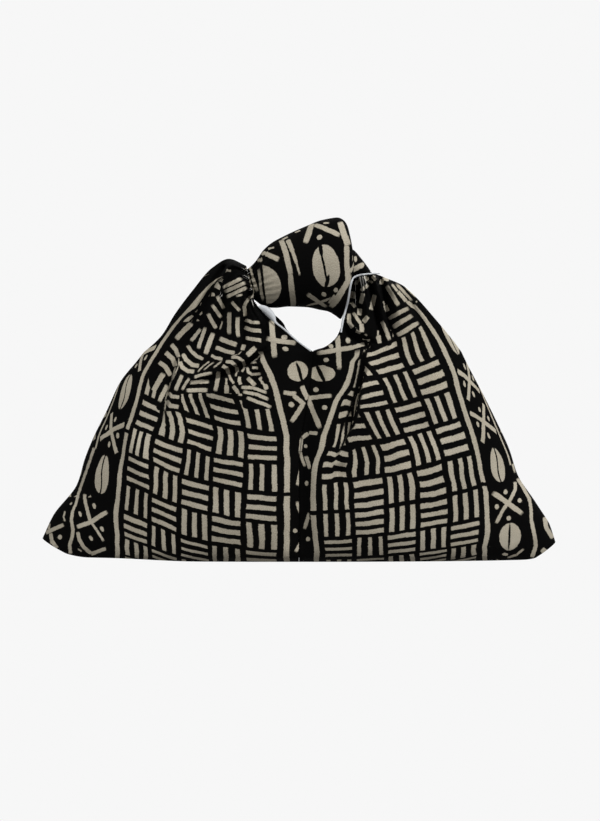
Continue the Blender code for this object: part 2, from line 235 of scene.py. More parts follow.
# The border's cross with four dots and its cowrie bean, in millimetres and radians
motifLook = {
    "armTurns": (0.72, -0.95),
    "armHalf": 2.7,
    "armReach": 22.0,
    "dots": ((12.5, 1.0), (-12.0, -1.0), (1.0, 13.0), (-1.0, -13.0)),
    "dotHalf": 2.3,
    "dotReach": 3.0,
    "beanHalf": 10.5,
    "beanReach": 18.5,
    "slitHalf": 0.8,
    "slitSway": 1.5,
    "slitPeriod": 7.0,
}
# The bars of a basket block, as shares of the block, each with how far chance may move it
basketLook = {"shift": 0.05, "barHalf": (0.243, 0.09), "barReach": (0.435, 0.03)}
# The canvas: its ground and its print at their darkest and palest
clothLook = {
    "ground": ((0.0004, 0.0004, 0.0004, 1), (0.0024, 0.0023, 0.0022, 1)),
    "print": ((0.365, 0.325, 0.245, 1), (0.475, 0.435, 0.355, 1)),
    "printedShine": 0.03,
    "plainShine": 0.2,
    "plainDark": 0.72,
    "printedBump": 0.0006,
    "plainBump": 0.0005,
}

# The crosses and cowrie beans up the outer border, by their height on the cloth
motifColumns = "kind v"
leftMotifs = rowsOf(
    motifColumns, ("bean", -48), ("cross", -9), ("bean", 35), ("cross", 82), ("bean", 124), ("cross", 161),
    ("none", 200),
)
rightMotifs = rowsOf(
    motifColumns, ("bean", -62), ("cross", -28), ("bean", 1), ("cross", 30), ("bean", 62), ("cross", 106),
    ("cross", 144), ("bean", 182), ("none", 215),
)


def barsOf(*lines):
    # Each line is half a bar's width, then the columns and rows of the photo that it runs through, as read
    marks = []
    for half, *path in lines:
        stops = list(zip(path[::2], path[1::2]))
        for i, ((x0, y0), (x1, y1)) in enumerate(zip(stops, stops[1:])):
            # Where a bar bends, its steps overlap by most of half its width
            length = math.hypot(x1 - x0, y1 - y0)
            before, after = [0.8 * half / length * inside for inside in (i > 0, i < len(stops) - 2)]
            x0, x1 = x0 - (x1 - x0) * before, x1 + (x1 - x0) * after
            y0, y1 = y0 - (y1 - y0) * before, y1 + (y1 - y0) * after
            marks.append({
                "x": (x0 + x1) / 2 - studio["middleColumn"],
                "height": studio["floorLine"] - (y0 + y1) / 2,
                "half": half,
                "reach": math.hypot(x1 - x0, y1 - y0) / 2,
                "turn": math.degrees(math.atan2(x1 - x0, y0 - y1)),
            })
    return marks


# The marks of the middle border: where each sits in the front view in millimetres (x to the right of the middle), its
# half width, half length and turn in degrees from upright, to the right at the top. Where no kind is named it is a bar
markColumns = "x height half reach turn kind"
# The bars by the seam, which both halves carry a part of
seamMarks = barsOf(
    (2, 317.7, 433, 308.6, 432.2), (2, 308.6, 432.6, 302.2, 438.5), (1.8, 301.6, 437.8, 299.7, 452.8),
    (1.6, 299.7, 451.6, 305, 467.4),
)
leftMarks = rowsOf(
    markColumns, (-26, 219.5, 2.9, 19, -5), (-18, 217.5, 2.6, 15, 99), (-15, 221.5, 3.2, 2.6, 0, "oval"),
    (-14, 209.5, 3.4, 2.3, 20, "oval"), (-1, 187.4, 10.2, 10.4, 0, "oval"), (0.8, 185.5, 1.9, 13, -17, "cut"),
    (-9, 165.5, 2.3, 7, 96), (0, 158.5, 2.3, 8, -48), (-8, 154.5, 3.2, 2.9, 0, "oval"),
    (-2, 145.5, 2.6, 11, 34), (6, 165.5, 2.6, 8, -22), (4, 170.5, 2.6, 2, 0, "oval"), (0, 81.5, 1.9, 9, 12),
    (1, 47.5, 1.8, 10, -20), (-4, 27.5, 2.4, 2.2, 0, "oval"), (0, 13.5, 1.8, 8, 30),
) + seamMarks
rightMarks = rowsOf(
    markColumns, (39, 207.5, 2.6, 19, -2), (42, 209.5, 2.5, 25, 80), (49, 218.5, 2.6, 3.2, 0, "oval"),
    (32, 212.5, 2.4, 2.6, 0, "oval"), (27, 198.5, 3, 2.3, 0, "oval"), (23, 184.8, 13.3, 8, 0, "oval"),
    (21.6, 184.5, 2.4, 11, -27, "cut"), (30, 193.4, 2.6, 9, 105, "cut"), (21, 161.5, 2.4, 12, 82),
    (14, 147.5, 2.7, 19, -22), (17, 168.5, 2.9, 2.6, 0, "oval"), (26, 150.5, 2.9, 2.6, 0, "oval"),
    (9, 95.5, 2, 7, -18), (8, 75.5, 2, 2.8, 0, "oval"), (8, 37.5, 1.9, 9, 16), (9, 19.5, 2.3, 2.2, 0, "oval"),
    (6.5, 112, 1.9, 2.2, 0, "oval"),
) + seamMarks

# The bars that the gathers bring up at the necks, and the zones, drawn as broad bars, that show only charted marks
leftNeckMarks = barsOf(
    (2, 222.8, 287.5, 242, 278.6), (2, 224.3, 292, 245.7, 282.8), (2, 226.3, 297, 247, 287.7),
    (1.8, 249.4, 277, 254.8, 289.5), (1.2, 222.8, 274, 226.3, 270), (1.2, 226, 270, 231.5, 270.7),
    (0.8, 251.2, 266, 254, 273.7), (0.8, 254.8, 270.3, 257.6, 279), (2, 245, 317, 244.3, 305),
    (2, 244.3, 306, 249.4, 298.6), (1.8, 248.5, 298.4, 254, 296.6), (1.6, 255.2, 296.2, 259.5, 296.6),
    (1.8, 231.5, 301.3, 240, 311.2), (1.2, 235.4, 296.6, 243, 295), (2, 216.8, 295.4, 224, 308.5),
    (1, 258.7, 299, 259, 303), (2, 211, 304.5, 221.5, 317.7), (2.2, 206.8, 313.5, 216.5, 328.5),
    (0.9, 222.5, 320.5, 219.6, 330), (2.3, 229.3, 311.6, 229.4, 334.6), (2.2, 237.8, 316.7, 238, 337.6),
    (1.7, 244.5, 320.5, 252, 323, 260, 323), (2.2, 244.6, 328, 253, 330.8, 264, 332), (2, 245, 338, 265.8, 342),
    (2.8, 192.1, 322.5, 175.8, 339.6), (2.3, 171.2, 344.5, 176.5, 350.5, 178.6, 357.5),
    # This thin pale line runs along the fold's crest: a painted highlight
    (0.8, 178.6, 357.5, 178.2, 366, 175, 374, 171.5, 381, 168, 391, 165.8, 400, 165, 411),
    (2.5, 165.5, 352.2, 172, 358.6, 175.2, 366.5), (0.9, 175.2, 366.5, 172, 379.5),
    (2.4, 158.7, 361.3, 165.8, 367.5, 170.8, 376), (2.9, 163.8, 373.3, 151.7, 395),
    (2.2, 167.8, 385, 159.3, 402), (1.9, 187.9, 345, 191.6, 351, 196.7, 356, 203, 359.6),
    (2.3, 182.9, 353.4, 186, 359.5, 191.7, 364.3, 199, 366.2),
    (2.2, 179.6, 361.6, 182, 367, 187.5, 370.4, 194.6, 371.4), (1.9, 200.5, 328.5, 191.7, 341.2),
    (2, 205.4, 327, 198, 348.5), (2.6, 213.4, 332.5, 205, 354.2), (2.5, 219, 338.3, 236.6, 345),
    (2.1, 215.5, 347, 225, 350.8, 235, 352.8), (1.8, 211, 355, 216, 357.8, 223, 358.8),
    (2.2, 244, 344.6, 242.4, 350.5), (0.6, 242, 351, 238, 354, 231, 356.3), (2.7, 256, 347.4, 247, 355.8),
    # The thin pale line that starts this row runs along the crease's edge: a painted highlight
    (0.8, 264.5, 349, 258, 358, 250, 364.5), (1.5, 247, 367.5, 248, 372.4, 252, 375, 260.5, 374),
    (1.6, 251.5, 368, 257.5, 368.3), (1, 251.7, 363.3, 256.5, 362.5), (2.2, 247.5, 377.8, 255.6, 385.8),
    (2.4, 259.4, 377.5, 263.5, 382.5, 267, 390.3), (1.7, 241, 387.4, 253, 387.6, 266.8, 393.3),
    (1.8, 243, 391.6, 255, 393.8, 268.7, 400), (1.9, 246.5, 397.4, 258, 402, 271.5, 407.6),
    (1.7, 230.8, 357, 237.5, 357.2, 243, 361, 244.8, 366.7), (1.3, 244.8, 366.7, 241.7, 372.5),
    (1.9, 240, 377, 239.6, 381, 241, 385), (1.9, 225.8, 361.2, 231.7, 361.9, 236.4, 366.7),
    (1.9, 236.4, 366.7, 237.2, 372.5), (1, 237, 372, 235.8, 377), (2.1, 222.6, 365.4, 227, 368.4, 229, 374.5),
    (1.5, 229, 374.5, 231, 379.5, 234.4, 384), (1, 222.4, 360.6, 213.6, 368.2),
    (0.9, 214.8, 361.9, 203.4, 370.6), (1, 210, 361.6, 203.5, 366, 197.5, 372.3),
    (1.8, 212.6, 373.2, 203, 374.8, 194, 377.2), (2.1, 209.4, 382, 189.8, 382.4),
    (2.2, 208.4, 390.8, 186.2, 390), (2.2, 182, 374.4, 175.2, 390.6), (1.6, 189.4, 377.6, 182, 390),
    (2.2, 219, 371.2, 215.2, 392), (1.3, 226.3, 378, 226.6, 386), (2.5, 226.8, 385, 227, 394.3),
    (2.1, 233.3, 386, 237, 391, 240, 397.3), (2, 168.2, 392.6, 171.6, 396.4, 179.6, 396.8),
    (2.2, 166.2, 401, 170, 405.4, 179.2, 406.6),
)
leftNeckZones = barsOf(
    (18.5, 233, 308.5, 246, 268.5), (5, 216.2, 294.4, 223.8, 308.6), (30, 231.5, 296, 231.5, 330),
    (57, 205, 321, 205, 394), (12.5, 169, 390, 169, 411), (16, 258, 384, 258, 409.5), (36, 77, 497, 77, 562),
    (6.3, 93, 447, 82, 499),
)
rightNeckMarks = barsOf(
    (2.4, 386.3, 285.2, 398.8, 306), (1.5, 391.6, 283.8, 398, 291), (1.9, 397.6, 290.5, 407, 302.5),
    (1.5, 396, 283, 412.4, 301), (0.9, 404.3, 286.3, 417, 297.7), (1, 415.8, 300.6, 418.8, 304),
    (2.3, 388.4, 319, 409.4, 307.8), (2.3, 392.3, 327.6, 413, 315), (2.3, 396.3, 334.8, 419.2, 322.6),
    (1, 383, 300.5, 384.6, 306), (2.3, 385, 305, 388, 311.8), (2.2, 381.6, 320.8, 389.8, 340.4),
    (1, 377.6, 330, 377.8, 336), (2.4, 378, 335, 379.8, 344), (2.4, 368.4, 316.3, 363.4, 322.7),
    (2.7, 359.8, 308.4, 359.2, 316), (1.8, 352.5, 312.5, 361.5, 325), (2.3, 361.5, 323.5, 362.2, 332.4),
    (1.6, 356, 330.6, 361, 333), (2.2, 348.4, 313.4, 349.2, 322.5, 353.2, 328), (1.8, 351, 302, 355, 307.7),
    (2.2, 363.6, 293.4, 360.6, 304), (2.2, 354, 291.3, 353.2, 299), (2.3, 374.8, 294.2, 371, 309.8),
    (1.9, 368.6, 285, 360.8, 291), (2.1, 360.4, 277.8, 353.6, 285), (2.2, 364.4, 276, 368, 280.6),
    (1.1, 368, 281, 373, 283), (1.9, 372, 275.6, 375.6, 280.6), (2.2, 381, 284.6, 382.4, 279.4),
    (1.7, 382.4, 278.6, 389.4, 279.8), (2.2, 350, 348, 365, 344),
)
rightNeckZones = barsOf(
    (24, 368, 274, 368, 334), (11.5, 381, 330, 381, 346), (4, 352, 346, 368, 343),
    (15, 384.7, 285.4, 409.1, 331.2), (14, 388, 280, 413, 306), (37.5, 527, 481, 527, 561),
    (12, 519, 459, 519, 483),
)
# The crosses, beans, dots and thin stripes of the two corners, which the curved cloth turns
leftCornerMarks = rowsOf(
    markColumns, (-205, 52.5, 1.9, 3.2, -15, "oval"), (-218.3, 44.5, 1.6, 3.2, -18, "oval"),
    (-197.2, 29.2, 1.9, 3, -30, "oval"), (-208, 20.3, 1.8, 2.9, -35, "oval"), (-239, 21.2, 2.2, 2.6, 0, "oval"),
) + barsOf(
    (1.5, 94.6, 446, 90.3, 459, 86.5, 470, 84, 477, 80.5, 487, 78.3, 495, 76, 505, 72.3, 512.5),
    (1.9, 73, 510.6, 71, 520, 73.3, 530, 72.4, 537, 69.8, 545, 70.5, 554),
    (1.8, 84.4, 493.5, 86, 505, 90.5, 522), (1.4, 90.5, 522, 96, 530, 103.8, 541.3),
    (2.4, 76.8, 527.3, 91, 522, 108, 511.5), (2, 77.8, 532, 79.5, 540, 84, 547, 92, 553.5),
    (2, 91, 554, 97, 551.8, 106.5, 548), (0.9, 77.6, 548.6, 82, 551), (1, 64.8, 511, 63, 516.5, 64.6, 521.8),
    (0.9, 72.5, 502.5, 70.3, 505.2), (2.2, 64, 524.6, 53, 529.4, 45, 533), (2, 50.5, 533, 52, 541, 58, 548.5),
    (1.4, 49.5, 523, 48, 530),
)
rightCornerMarks = rowsOf(
    markColumns, (211, 22, 11.3, 14, 4, "oval"), (210.4, 22, 1.4, 16, 2, "cut"),
    (206, 66.5, 2.2, 2.7, 0, "oval"), (221, 58, 2.3, 2.5, 0, "oval"), (197.6, 51.6, 2.4, 2.6, 0, "oval"),
    (210, 40.4, 2.4, 2.7, 20, "oval"), (206, 4.5, 3.2, 1.4, 0, "oval"),
) + barsOf(
    (2.7, 492.4, 492.6, 523.2, 514), (1.9, 515.4, 481.5, 515, 489, 510, 500, 502.5, 511, 495.2, 523),
    (1.2, 511.7, 460, 515.8, 473.5), (1.8, 517.8, 478.5, 524, 489, 529, 497.5, 531.6, 512, 532, 522),
    (2.1, 531.9, 519.6, 534.5, 536, 535.6, 546, 532, 558), (1.2, 524.4, 549, 517, 555, 507, 557.5),
    (2.4, 545.3, 517, 546.6, 528, 552.5, 538.5), (3, 541.5, 549, 548, 554), (1.6, 555.5, 546, 556.5, 542),
)
# The marks of the knot, in the same columns
wrapMarks = rowsOf(
    markColumns, (-36, 272.5, 18, 20, 4, "oval"), (-47, 272.5, 13, 30, -7, "trim"),
    (27, 292.5, 14, 20, -8, "oval"), (25, 293.5, 1.4, 24, -10, "cut"), (22.4, 308, 2.3, 7, -10, "cut"),
    (28, 277.5, 2.2, 8, 14, "cut"), (-29, 302.5, 2.6, 10, 118), (-39, 298.5, 2.8, 2.4, 0, "oval"),
    (-28, 310.5, 1.4, 3, 80), (-38, 273.5, 1.6, 16, -9), (-44, 274.5, 1.9, 8, -24), (-48, 286.5, 1.3, 8, -14),
    (-46, 265.5, 1.6, 6, 6), (-50, 277.5, 1.1, 8, -20), (-13, 301.5, 3, 19, -16), (-7, 267.5, 3.1, 19, -5),
    (-9, 312, 2.5, 7, -20), (-5, 301, 1.9, 7, -20), (-1.2, 290.5, 1.2, 7.5, -20), (-14, 320.5, 1.4, 3.4, 70),
    (-1, 327.5, 1.3, 3, 70), (10, 325.5, 2.8, 13, 18), (28, 327.5, 2.7, 15, -63),
    (20, 319.5, 2.9, 2.7, 0, "oval"), (27, 335.5, 1.3, 3, 85), (18, 258.5, 2.3, 12.5, -52),
    (20, 256.5, 1.5, 14, 68), (33, 260.5, 1.4, 6, 35), (25, 265.5, 2.9, 2.2, 40, "oval"),
    (37, 269.5, 2.2, 2.4, 0, "oval"), (45, 323.5, 3.4, 14, -18), (48, 294.5, 2.8, 18, -2),
    (42, 267.5, 2.9, 20, 33), (57, 298.5, 1.6, 3, -10, "oval"), (58, 290.5, 2.4, 9, 66),
)

# How the folds turn the print on the cloth: the place and size of each turn, and its angle in degrees
turnColumns = "x rise radius turn"
leftTurns = rowsOf(
    turnColumns, (0.29, 0.905, 0.062, 58), (0.176, 1.375, 0.04, -65), (0.262, 1.54, 0.06, 30),
    (0.34, 1.38, 0.055, -40), (0.37, 1.14, 0.06, 22), (0.43, 0.97, 0.06, -38), (0.52, 0.93, 0.05, 30),
    (0.165, 0.85, 0.05, -24), (0.5, 0.72, 0.04, -20),
)
rightTurns = rowsOf(
    turnColumns, (0.205, 0.79, 0.05, 32), (0.15, 0.52, 0.06, 26), (0.31, 1.2, 0.08, -16),
    (0.25, 1.05, 0.05, 24), (0.42, 1.25, 0.07, -14), (0.27, 1.4, 0.05, 26),
)

wrapSections = rowsOf(
    "topX topRise footX footRise depth", (-0.212, 1.585, -0.196, 1.44, 0.32),
    (-0.19, 1.618, -0.17, 1.398, 0.435), (-0.166, 1.67, -0.148, 1.362, 0.56),
    (-0.138, 1.752, -0.12, 1.336, 0.74), (-0.104, 1.812, -0.086, 1.33, 0.83),
    (-0.06, 1.86, -0.039, 1.338, 0.89), (0.02, 1.93, 0.026, 1.334, 0.97), (0.09, 1.982, 0.08, 1.314, 1),
    (0.146, 2, 0.112, 1.302, 0.97), (0.172, 1.98, 0.14, 1.272, 0.9), (0.188, 1.93, 0.16, 1.246, 0.78),
    (0.194, 1.86, 0.17, 1.29, 0.66), (0.17, 1.82, 0.148, 1.385, 0.58),
)
tipSections = rowsOf(
    "topX topRise footX footRise depth", (0.112, 1.74, 0.104, 1.5, 0.34), (0.152, 1.8, 0.142, 1.42, 0.555),
    (0.206, 1.765, 0.18, 1.48, 0.555), (0.243, 1.69, 0.215, 1.53, 0.5), (0.276, 1.605, 0.262, 1.54, 0.44),
)
# What each half is made from, with where the blocks change and where the stripes break and end, in millimetres of cloth
halves = {
    -1: {
        "rows": leftRows, "edge": leftEdge, "folds": leftFolds, "turns": leftTurns, "corner": bag["leftCorner"],
        "inner": leftInner, "outer": leftOuter, "motifs": leftMotifs, "middle": leftMarks,
        "zones": leftNeckZones, "charted": leftNeckMarks + leftCornerMarks,
        "joint": -105.0, "breaks": (68.0, 90.0, 300.0), "tops": (203.0, 258.0, 250.0), "bend": -0.19,
        "squeeze": (0.011, 18),
    },
    1: {
        "rows": rightRows, "edge": rightEdge, "folds": rightFolds, "turns": rightTurns, "corner": bag["rightCorner"],
        "inner": rightInner, "outer": rightOuter, "motifs": rightMotifs, "middle": rightMarks,
        "zones": rightNeckZones, "charted": rightNeckMarks + rightCornerMarks,
        "joint": 51.0, "breaks": (50.0, 52.0, 300.0), "tops": (204.0, 226.0, 215.0), "bend": -0.03,
        "squeeze": (0.0054, 48),
    },
}
wrap = {"depth": 0.058, "belly": 0.026, "sides": 160, "rows": 120, "flat": (0.215, 0.13)}
tip = {"depth": 0.058, "belly": 0.0, "sides": 72, "rows": 40, "flat": (0.105, 0.045)}


def smooth(x):
    x = np.clip(x, 0, 1)
    return x * x * (3 - 2 * x)


def through(rows, key, value, at):
    keys = np.array([row[key] for row in rows], float)
    values = np.array([row[value] for row in rows], float)
    at = np.clip(at, keys[0], keys[-1])
    slopes = np.diff(values) / np.diff(keys)
    tangents = np.empty(len(keys))
    tangents[0], tangents[-1] = slopes[0], slopes[-1]
    before, after = slopes[:-1], slopes[1:]
    same = before * after > 0
    total = np.where(same, before + after, 1)
    tangents[1:-1] = np.where(same, 2 * before * after / total, 0)
    i = np.clip(np.searchsorted(keys, at, "right") - 1, 0, len(keys) - 2)
    span = keys[i + 1] - keys[i]
    t = (at - keys[i]) / span
    start = (1 + 2 * t) * (1 - t) ** 2 * values[i] + t * (1 - t) ** 2 * span * tangents[i]
    return start + t * t * (3 - 2 * t) * values[i + 1] + t * t * (t - 1) * span * tangents[i + 1]


def heightOf(rise):
    low = rise * bag["mouthHeight"]
    high = bag["mouthHeight"] + (rise - 1) * (bag["height"] - bag["mouthHeight"])
    return np.where(rise <= 1, low, high)


def riseOf(height):
    above = 1 + (height - bag["mouthHeight"]) / (bag["height"] - bag["mouthHeight"])
    return np.where(height <= bag["mouthHeight"], height / bag["mouthHeight"], above)


def seenPlace(points):
    # Where a point shows in the photo, in metres from the middle column and up from the floor line
    x, y, z = points[..., 0], points[..., 1], points[..., 2] - targetHeight
    nearer = studio["distance"] / (studio["distance"] + y * math.cos(tilt) - z * math.sin(tilt))
    return np.stack([x * nearer, targetHeight + (z * math.cos(tilt) + y * math.sin(tilt)) * nearer], -1)


def foldEffect(folds, out, height):
    lift, shiftX, shiftZ, tuck = [np.zeros_like(out) for _ in range(4)]
    t = np.linspace(0, 1, 40)
    for fold in folds:
        ends = [(fold[end + "X"] * halfWidth, float(heightOf(fold[end + "Rise"]))) for end in ("top", "bend", "foot")]
        lineX, lineZ = [
            (1 - t) ** 2 * top + 2 * t * (1 - t) * bend + t * t * foot for top, bend, foot in zip(*ends)
        ]
        gapX, gapZ = out[..., None] - lineX, height[..., None] - lineZ
        nearest = np.hypot(gapX, gapZ).argmin(axis=-1)
        pick = lambda values: np.take_along_axis(values, nearest[..., None], -1)[..., 0]
        stepX, stepZ = np.gradient(lineX), np.gradient(lineZ)
        stepLength = np.hypot(stepX, stepZ)
        sideX, sideZ = (-stepZ / stepLength)[nearest], (stepX / stepLength)[nearest]
        away = pick(gapX) * sideX + pick(gapZ) * sideZ
        past = pick(gapX) * sideZ - pick(gapZ) * sideX
        width = np.where(away > 0, fold["farWidth"], fold["nearWidth"]) * halfWidth
        along = t[nearest]
        # A fold that starts at the neck is narrow and full there, and any other one tapers at both ends
        fromNeck = fold["topRise"] > 1.35
        fade = (1.0 if fromNeck else smooth(along / 0.4)) * smooth((1 - along) / 0.6)
        width = width * (0.75 + 0.6 * along if fromNeck else 0.5 + 0.5 * fade)
        shape = fade * np.exp(-((away / width) ** 2) - (past / width) ** 2)
        lift += fold["height"] * halfDepth * shape
        lean = fade * fold.get("lean", 0) * halfWidth * np.exp(-((away / (0.8 * width)) ** 2) - (past / width) ** 2)
        shiftX += lean * sideX
        shiftZ += lean * sideZ
        hides = (smooth((1 - along) / 0.3) if fromNeck else fade) * fold.get("tuck", 0) * np.abs(sideX)
        tuck += hides * np.exp(-((away / 0.0016) ** 2) - (past / 0.004) ** 2)
    return lift, shiftX, shiftZ, tuck


def slopesOf(values, out, height):
    valueUp, valueOver = np.gradient(values)
    outUp, outOver = np.gradient(out)
    heightUp, heightOver = np.gradient(height)
    area = outOver * heightUp - outUp * heightOver
    area = np.where(np.abs(area) < 1e-9, 1e-9, area)
    perOut = (valueOver * heightUp - valueUp * heightOver) / area
    perHeight = (valueUp * outOver - valueOver * outUp) / area
    return np.clip(perOut, -3000, 3000), np.clip(perHeight, -3000, 3000)


def turnedPlace(turns, side, out, height):
    moveOut, moveUp = np.zeros_like(out), np.zeros_like(out)
    for turn in turns:
        besideX, besideZ = out - turn["x"] * halfWidth, height - float(heightOf(turn["rise"]))
        near = np.exp(-((np.hypot(besideX, besideZ) / (turn["radius"] * halfWidth)) ** 2))
        angle = math.radians(turn["turn"]) * near * side
        moveOut += besideX * (np.cos(angle) - 1) - besideZ * np.sin(angle)
        moveUp += besideX * np.sin(angle) + besideZ * (np.cos(angle) - 1)
    return moveOut, moveUp


def blurred(values, reach):
    padded = np.pad(values, ((reach, reach), (0, 0)), mode="edge")
    total = np.cumsum(np.pad(padded, ((1, 0), (0, 0))), axis=0)
    return (total[2 * reach + 1:] - total[:-2 * reach - 1]) / (2 * reach + 1)


def lengthAlong(points, axis):
    steps = np.linalg.norm(np.diff(points, axis=axis), axis=-1)
    return np.insert(np.cumsum(steps, axis=axis), 0, 0, axis=axis)


def wrinkle(place, size, seed):
    return noise.noise(Vector(place) / size + Vector((seed, 0.5 * seed, 0)))


def halfShape(side):
    half = halves[side]
    rows, edge = half["rows"], half["edge"]
    top = rows[-1]["cloth"]
    frontAcross, backAcross = [
        1 - (1 - np.linspace(0, 1, bag[part + "Columns"] + 1)) ** bag[part + "Spacing"] for part in ("front", "back")
    ]
    across = np.concatenate([frontAcross, backAcross[-2::-1]])
    face = np.where(np.arange(len(across)) < len(frontAcross), -1.0, 1.0)
    up = np.linspace(0, 1, bag["rows"] + 1)
    across, up = np.meshgrid(across, up)
    face = np.broadcast_to(face, across.shape)
    leftBack = (face > 0) & (side < 0)

    def frontView(across, cloth):
        lean = bag["seamLean"] * smooth((cloth - 0.45) / 0.55)
        neckOut, neckRise = [through(edge, "cloth", name, cloth) for name in ("edgeX", "edgeRise")]
        edgeOut = np.where(cloth <= 1, side * lean, neckOut * halfWidth) + bag["seamGap"]
        edgeUp = np.where(cloth <= 1, cloth * bag["mouthHeight"], heightOf(neckRise))
        sideOut = through(rows, "cloth", "sideX", cloth) * halfWidth
        sideUp = heightOf(through(rows, "cloth", "sideRise", cloth))
        bow = 2 - smooth((cloth - 1) / 0.4)
        return edgeOut + (sideOut - edgeOut) * across, edgeUp + (sideUp - edgeUp) * across**bow, edgeOut

    def floorOf(out):
        lift, reach, power = half["corner"]
        corner = lift * (np.maximum(0, out - (halfWidth - reach)) / reach) ** power
        rise, start, length = bag["leftRise"]
        return corner + (rise * smooth((out - start) / length) if side < 0 else 0)

    low = np.full_like(across, rows[0]["cloth"])
    high = np.full_like(across, top)
    for _ in range(26):
        middle = (low + high) / 2
        out, height, _edge = frontView(across, middle)
        below = height < floorOf(out)
        low, high = np.where(below, middle, low), np.where(below, high, middle)
    foot = bag["footRows"] / bag["rows"]
    climb = np.clip((up - foot) / (1 - foot), 0, 1)
    cloth = high + (top - high) * climb ** bag["rowSpacing"]
    out, height, edgeOut = frontView(across, cloth)
    height = np.maximum(height, floorOf(out))

    depth = through(depthRows, "rise", "depth", riseOf(height)) * halfDepth
    rounding = np.sqrt(np.clip(1 - across ** bag["roundness"], 0, 1))
    lip = through(lipRows, "cloth", "kept", cloth)
    lip = lip + (1 - lip) * smooth(across / 0.45)
    depth = depth * rounding * lip
    valley = bag["seamValley"] * (1 - smooth((cloth - 0.9) / 0.15)) * smooth(height / 0.03)
    depth -= valley * np.exp(-(((out - edgeOut) / bag["seamValleyWidth"]) ** 2))
    plainDepth = depth
    front, back = foldEffect(half["folds"], out, height), foldEffect(backFolds, out, height)
    kept = smooth((1 - across) / 0.14)
    lift, shiftX, shiftZ, tuck = [np.where(face < 0, a, b) * kept for a, b in zip(front, back)]
    depth = depth + lift
    nearNeck = smooth((cloth - 0.95) / (top - 0.95))
    for count, shift, share in bag["gathers"]:
        gather = np.cos(2 * math.pi * count * across + shift * face)
        depth += bag["gatherHeight"] * share * nearNeck * rounding * gather

    rumple = np.empty_like(depth)
    for index in np.ndindex(depth.shape):
        place = (out[index], 0.3 * face[index], height[index])
        rumple[index] = sum(share * wrinkle(place, size, seed + side) for size, seed, share in bag["wrinkles"])
    depth += bag["wrinkleHeight"] * rumple * smooth(rounding * 2) * smooth(height / 0.02)
    drop = np.minimum(1, up / foot)
    # The left half's back edge laps inside the right one's, so that no light comes through the seam
    lapped = np.where(leftBack & (cloth < bag["lapTop"]), (1 - across) ** 40, 0)
    depth = np.maximum(depth - bag["lapDepth"] * lapped, 0) * drop
    lifted = np.maximum(0.001, height / 0.02)
    shiftX, shiftZ = shiftX * smooth(lifted), shiftZ * smooth(lifted)
    plain = np.stack([out, plainDepth * drop, height], -1)
    folded = np.stack([out + shiftX, depth, height + shiftZ], -1)
    reachIn = bag["backEdgeReach"] * np.exp(-(((cloth - 1.2) / 0.07) ** 2)) * (1 - across) ** 6
    behind = np.where(leftBack, reachIn, 0) + bag["lapOver"] * lapped
    points = np.stack([side * (out + shiftX - behind), face * depth, height + shiftZ], -1)

    # The print is laid out from the stripes, and runs on round the side fold to the back
    front = face[0] < 0
    asSeen = seenPlace(points * np.array([1, 0, 1]) - np.stack([depth * 0, depth, depth * 0], -1))
    outMm, heightMm = side * asSeen[..., 0] * 1000, asSeen[..., 1] * 1000
    innerAway, outerAway = [through(half[name], "height", "away", heightMm) for name in ("inner", "outer")]
    s = (outMm - innerAway) / (outerAway - innerAway)
    # Cloth shows at its true width on the folds, and the rest of the gathered cloth is tucked away in the valleys
    stripeTwo = layout["stripeTwo"]
    seen = outMm + (lengthAlong(folded, 1) - lengthAlong(plain, 1)) * 1000
    hidden = np.cumsum(tuck * np.abs(np.gradient(outMm, axis=1)), axis=1)
    u = s * stripeTwo
    for row in range(len(u)):
        marks = [[np.interp(mark, s[row, front], values[row, front]) for mark in (0, 1)] for values in (seen, hidden)]
        seenAll, hiddenAll = marks[0][1] - marks[0][0], marks[1][1] - marks[1][0]
        away = max(0.0, stripeTwo - seenAll) * hiddenAll / (hiddenAll + 0.6)
        shown = (seen[row] - marks[0][0]) * (stripeTwo - away) / seenAll
        gone = (hidden[row] - marks[1][0]) * away / max(hiddenAll, 0.001)
        between = front & (s[row] > 0) & (s[row] < 1)
        u[row] = np.where(between, shown + gone, u[row])
    inside = np.clip(u / stripeTwo, 0, 1)
    u = u + np.where(front, half["bend"] * inside * (1 - inside), 0) * stripeTwo
    if side > 0:
        beyondFold = smooth((outMm - through(rightFold, "height", "away", heightMm) + 1) / 2)
        beyondFold = np.where(front & (s < 1), beyondFold * smooth((heightMm - 50) / 100), 0)
        fromOuter = through(rightFold, "height", "closeness", heightMm) * (outerAway - outMm)
        u = u + (stripeTwo - fromOuter - u) * beyondFold
    else:
        size, place, reach = layout["bulge"]
        bulge = size * np.exp(-(((u - place) / reach) ** 2)) * smooth((heightMm - 70) / 40)
        u = u - np.where(front, bulge, 0)
    moveOut, moveUp = turnedPlace(half["turns"], side, out, height)
    frontOnly = np.where(front, smooth(inside / 0.05) * smooth((1 - inside) / 0.05), 0)
    perOut, perHeight = slopesOf(cloth * bag["mouthHeight"] * 1000, out, height)
    turnV = (np.clip(perOut, -600, 600) * moveOut + np.clip(perHeight, 600, 1300) * moveUp) * frontOnly
    u = u + (1000 * moveOut - np.clip(perOut, -600, 600) * moveUp) * frontOnly
    beyond = np.maximum(0, outMm - outerAway)
    curl = layout["curl"] * np.exp(np.minimum(heightMm, layout["curlTop"]) / layout["curlHeight"])
    u = np.where(s > 1, stripeTwo + beyond + curl * beyond**2, u)
    u = np.where(s < 0, outMm - innerAway, u)
    v = cloth * bag["mouthHeight"] * 1000 - (1 - drop) * layout["underBottom"]
    spentUp = (lengthAlong(folded, 0) - lengthAlong(plain, 0)) * 1000
    v = v + layout["spentShare"] * (spentUp - blurred(spentUp, layout["spentRows"])) + turnV
    rate, start = half["squeeze"]
    v = v - rate * np.maximum(0, start - v) ** 2
    if side > 0:
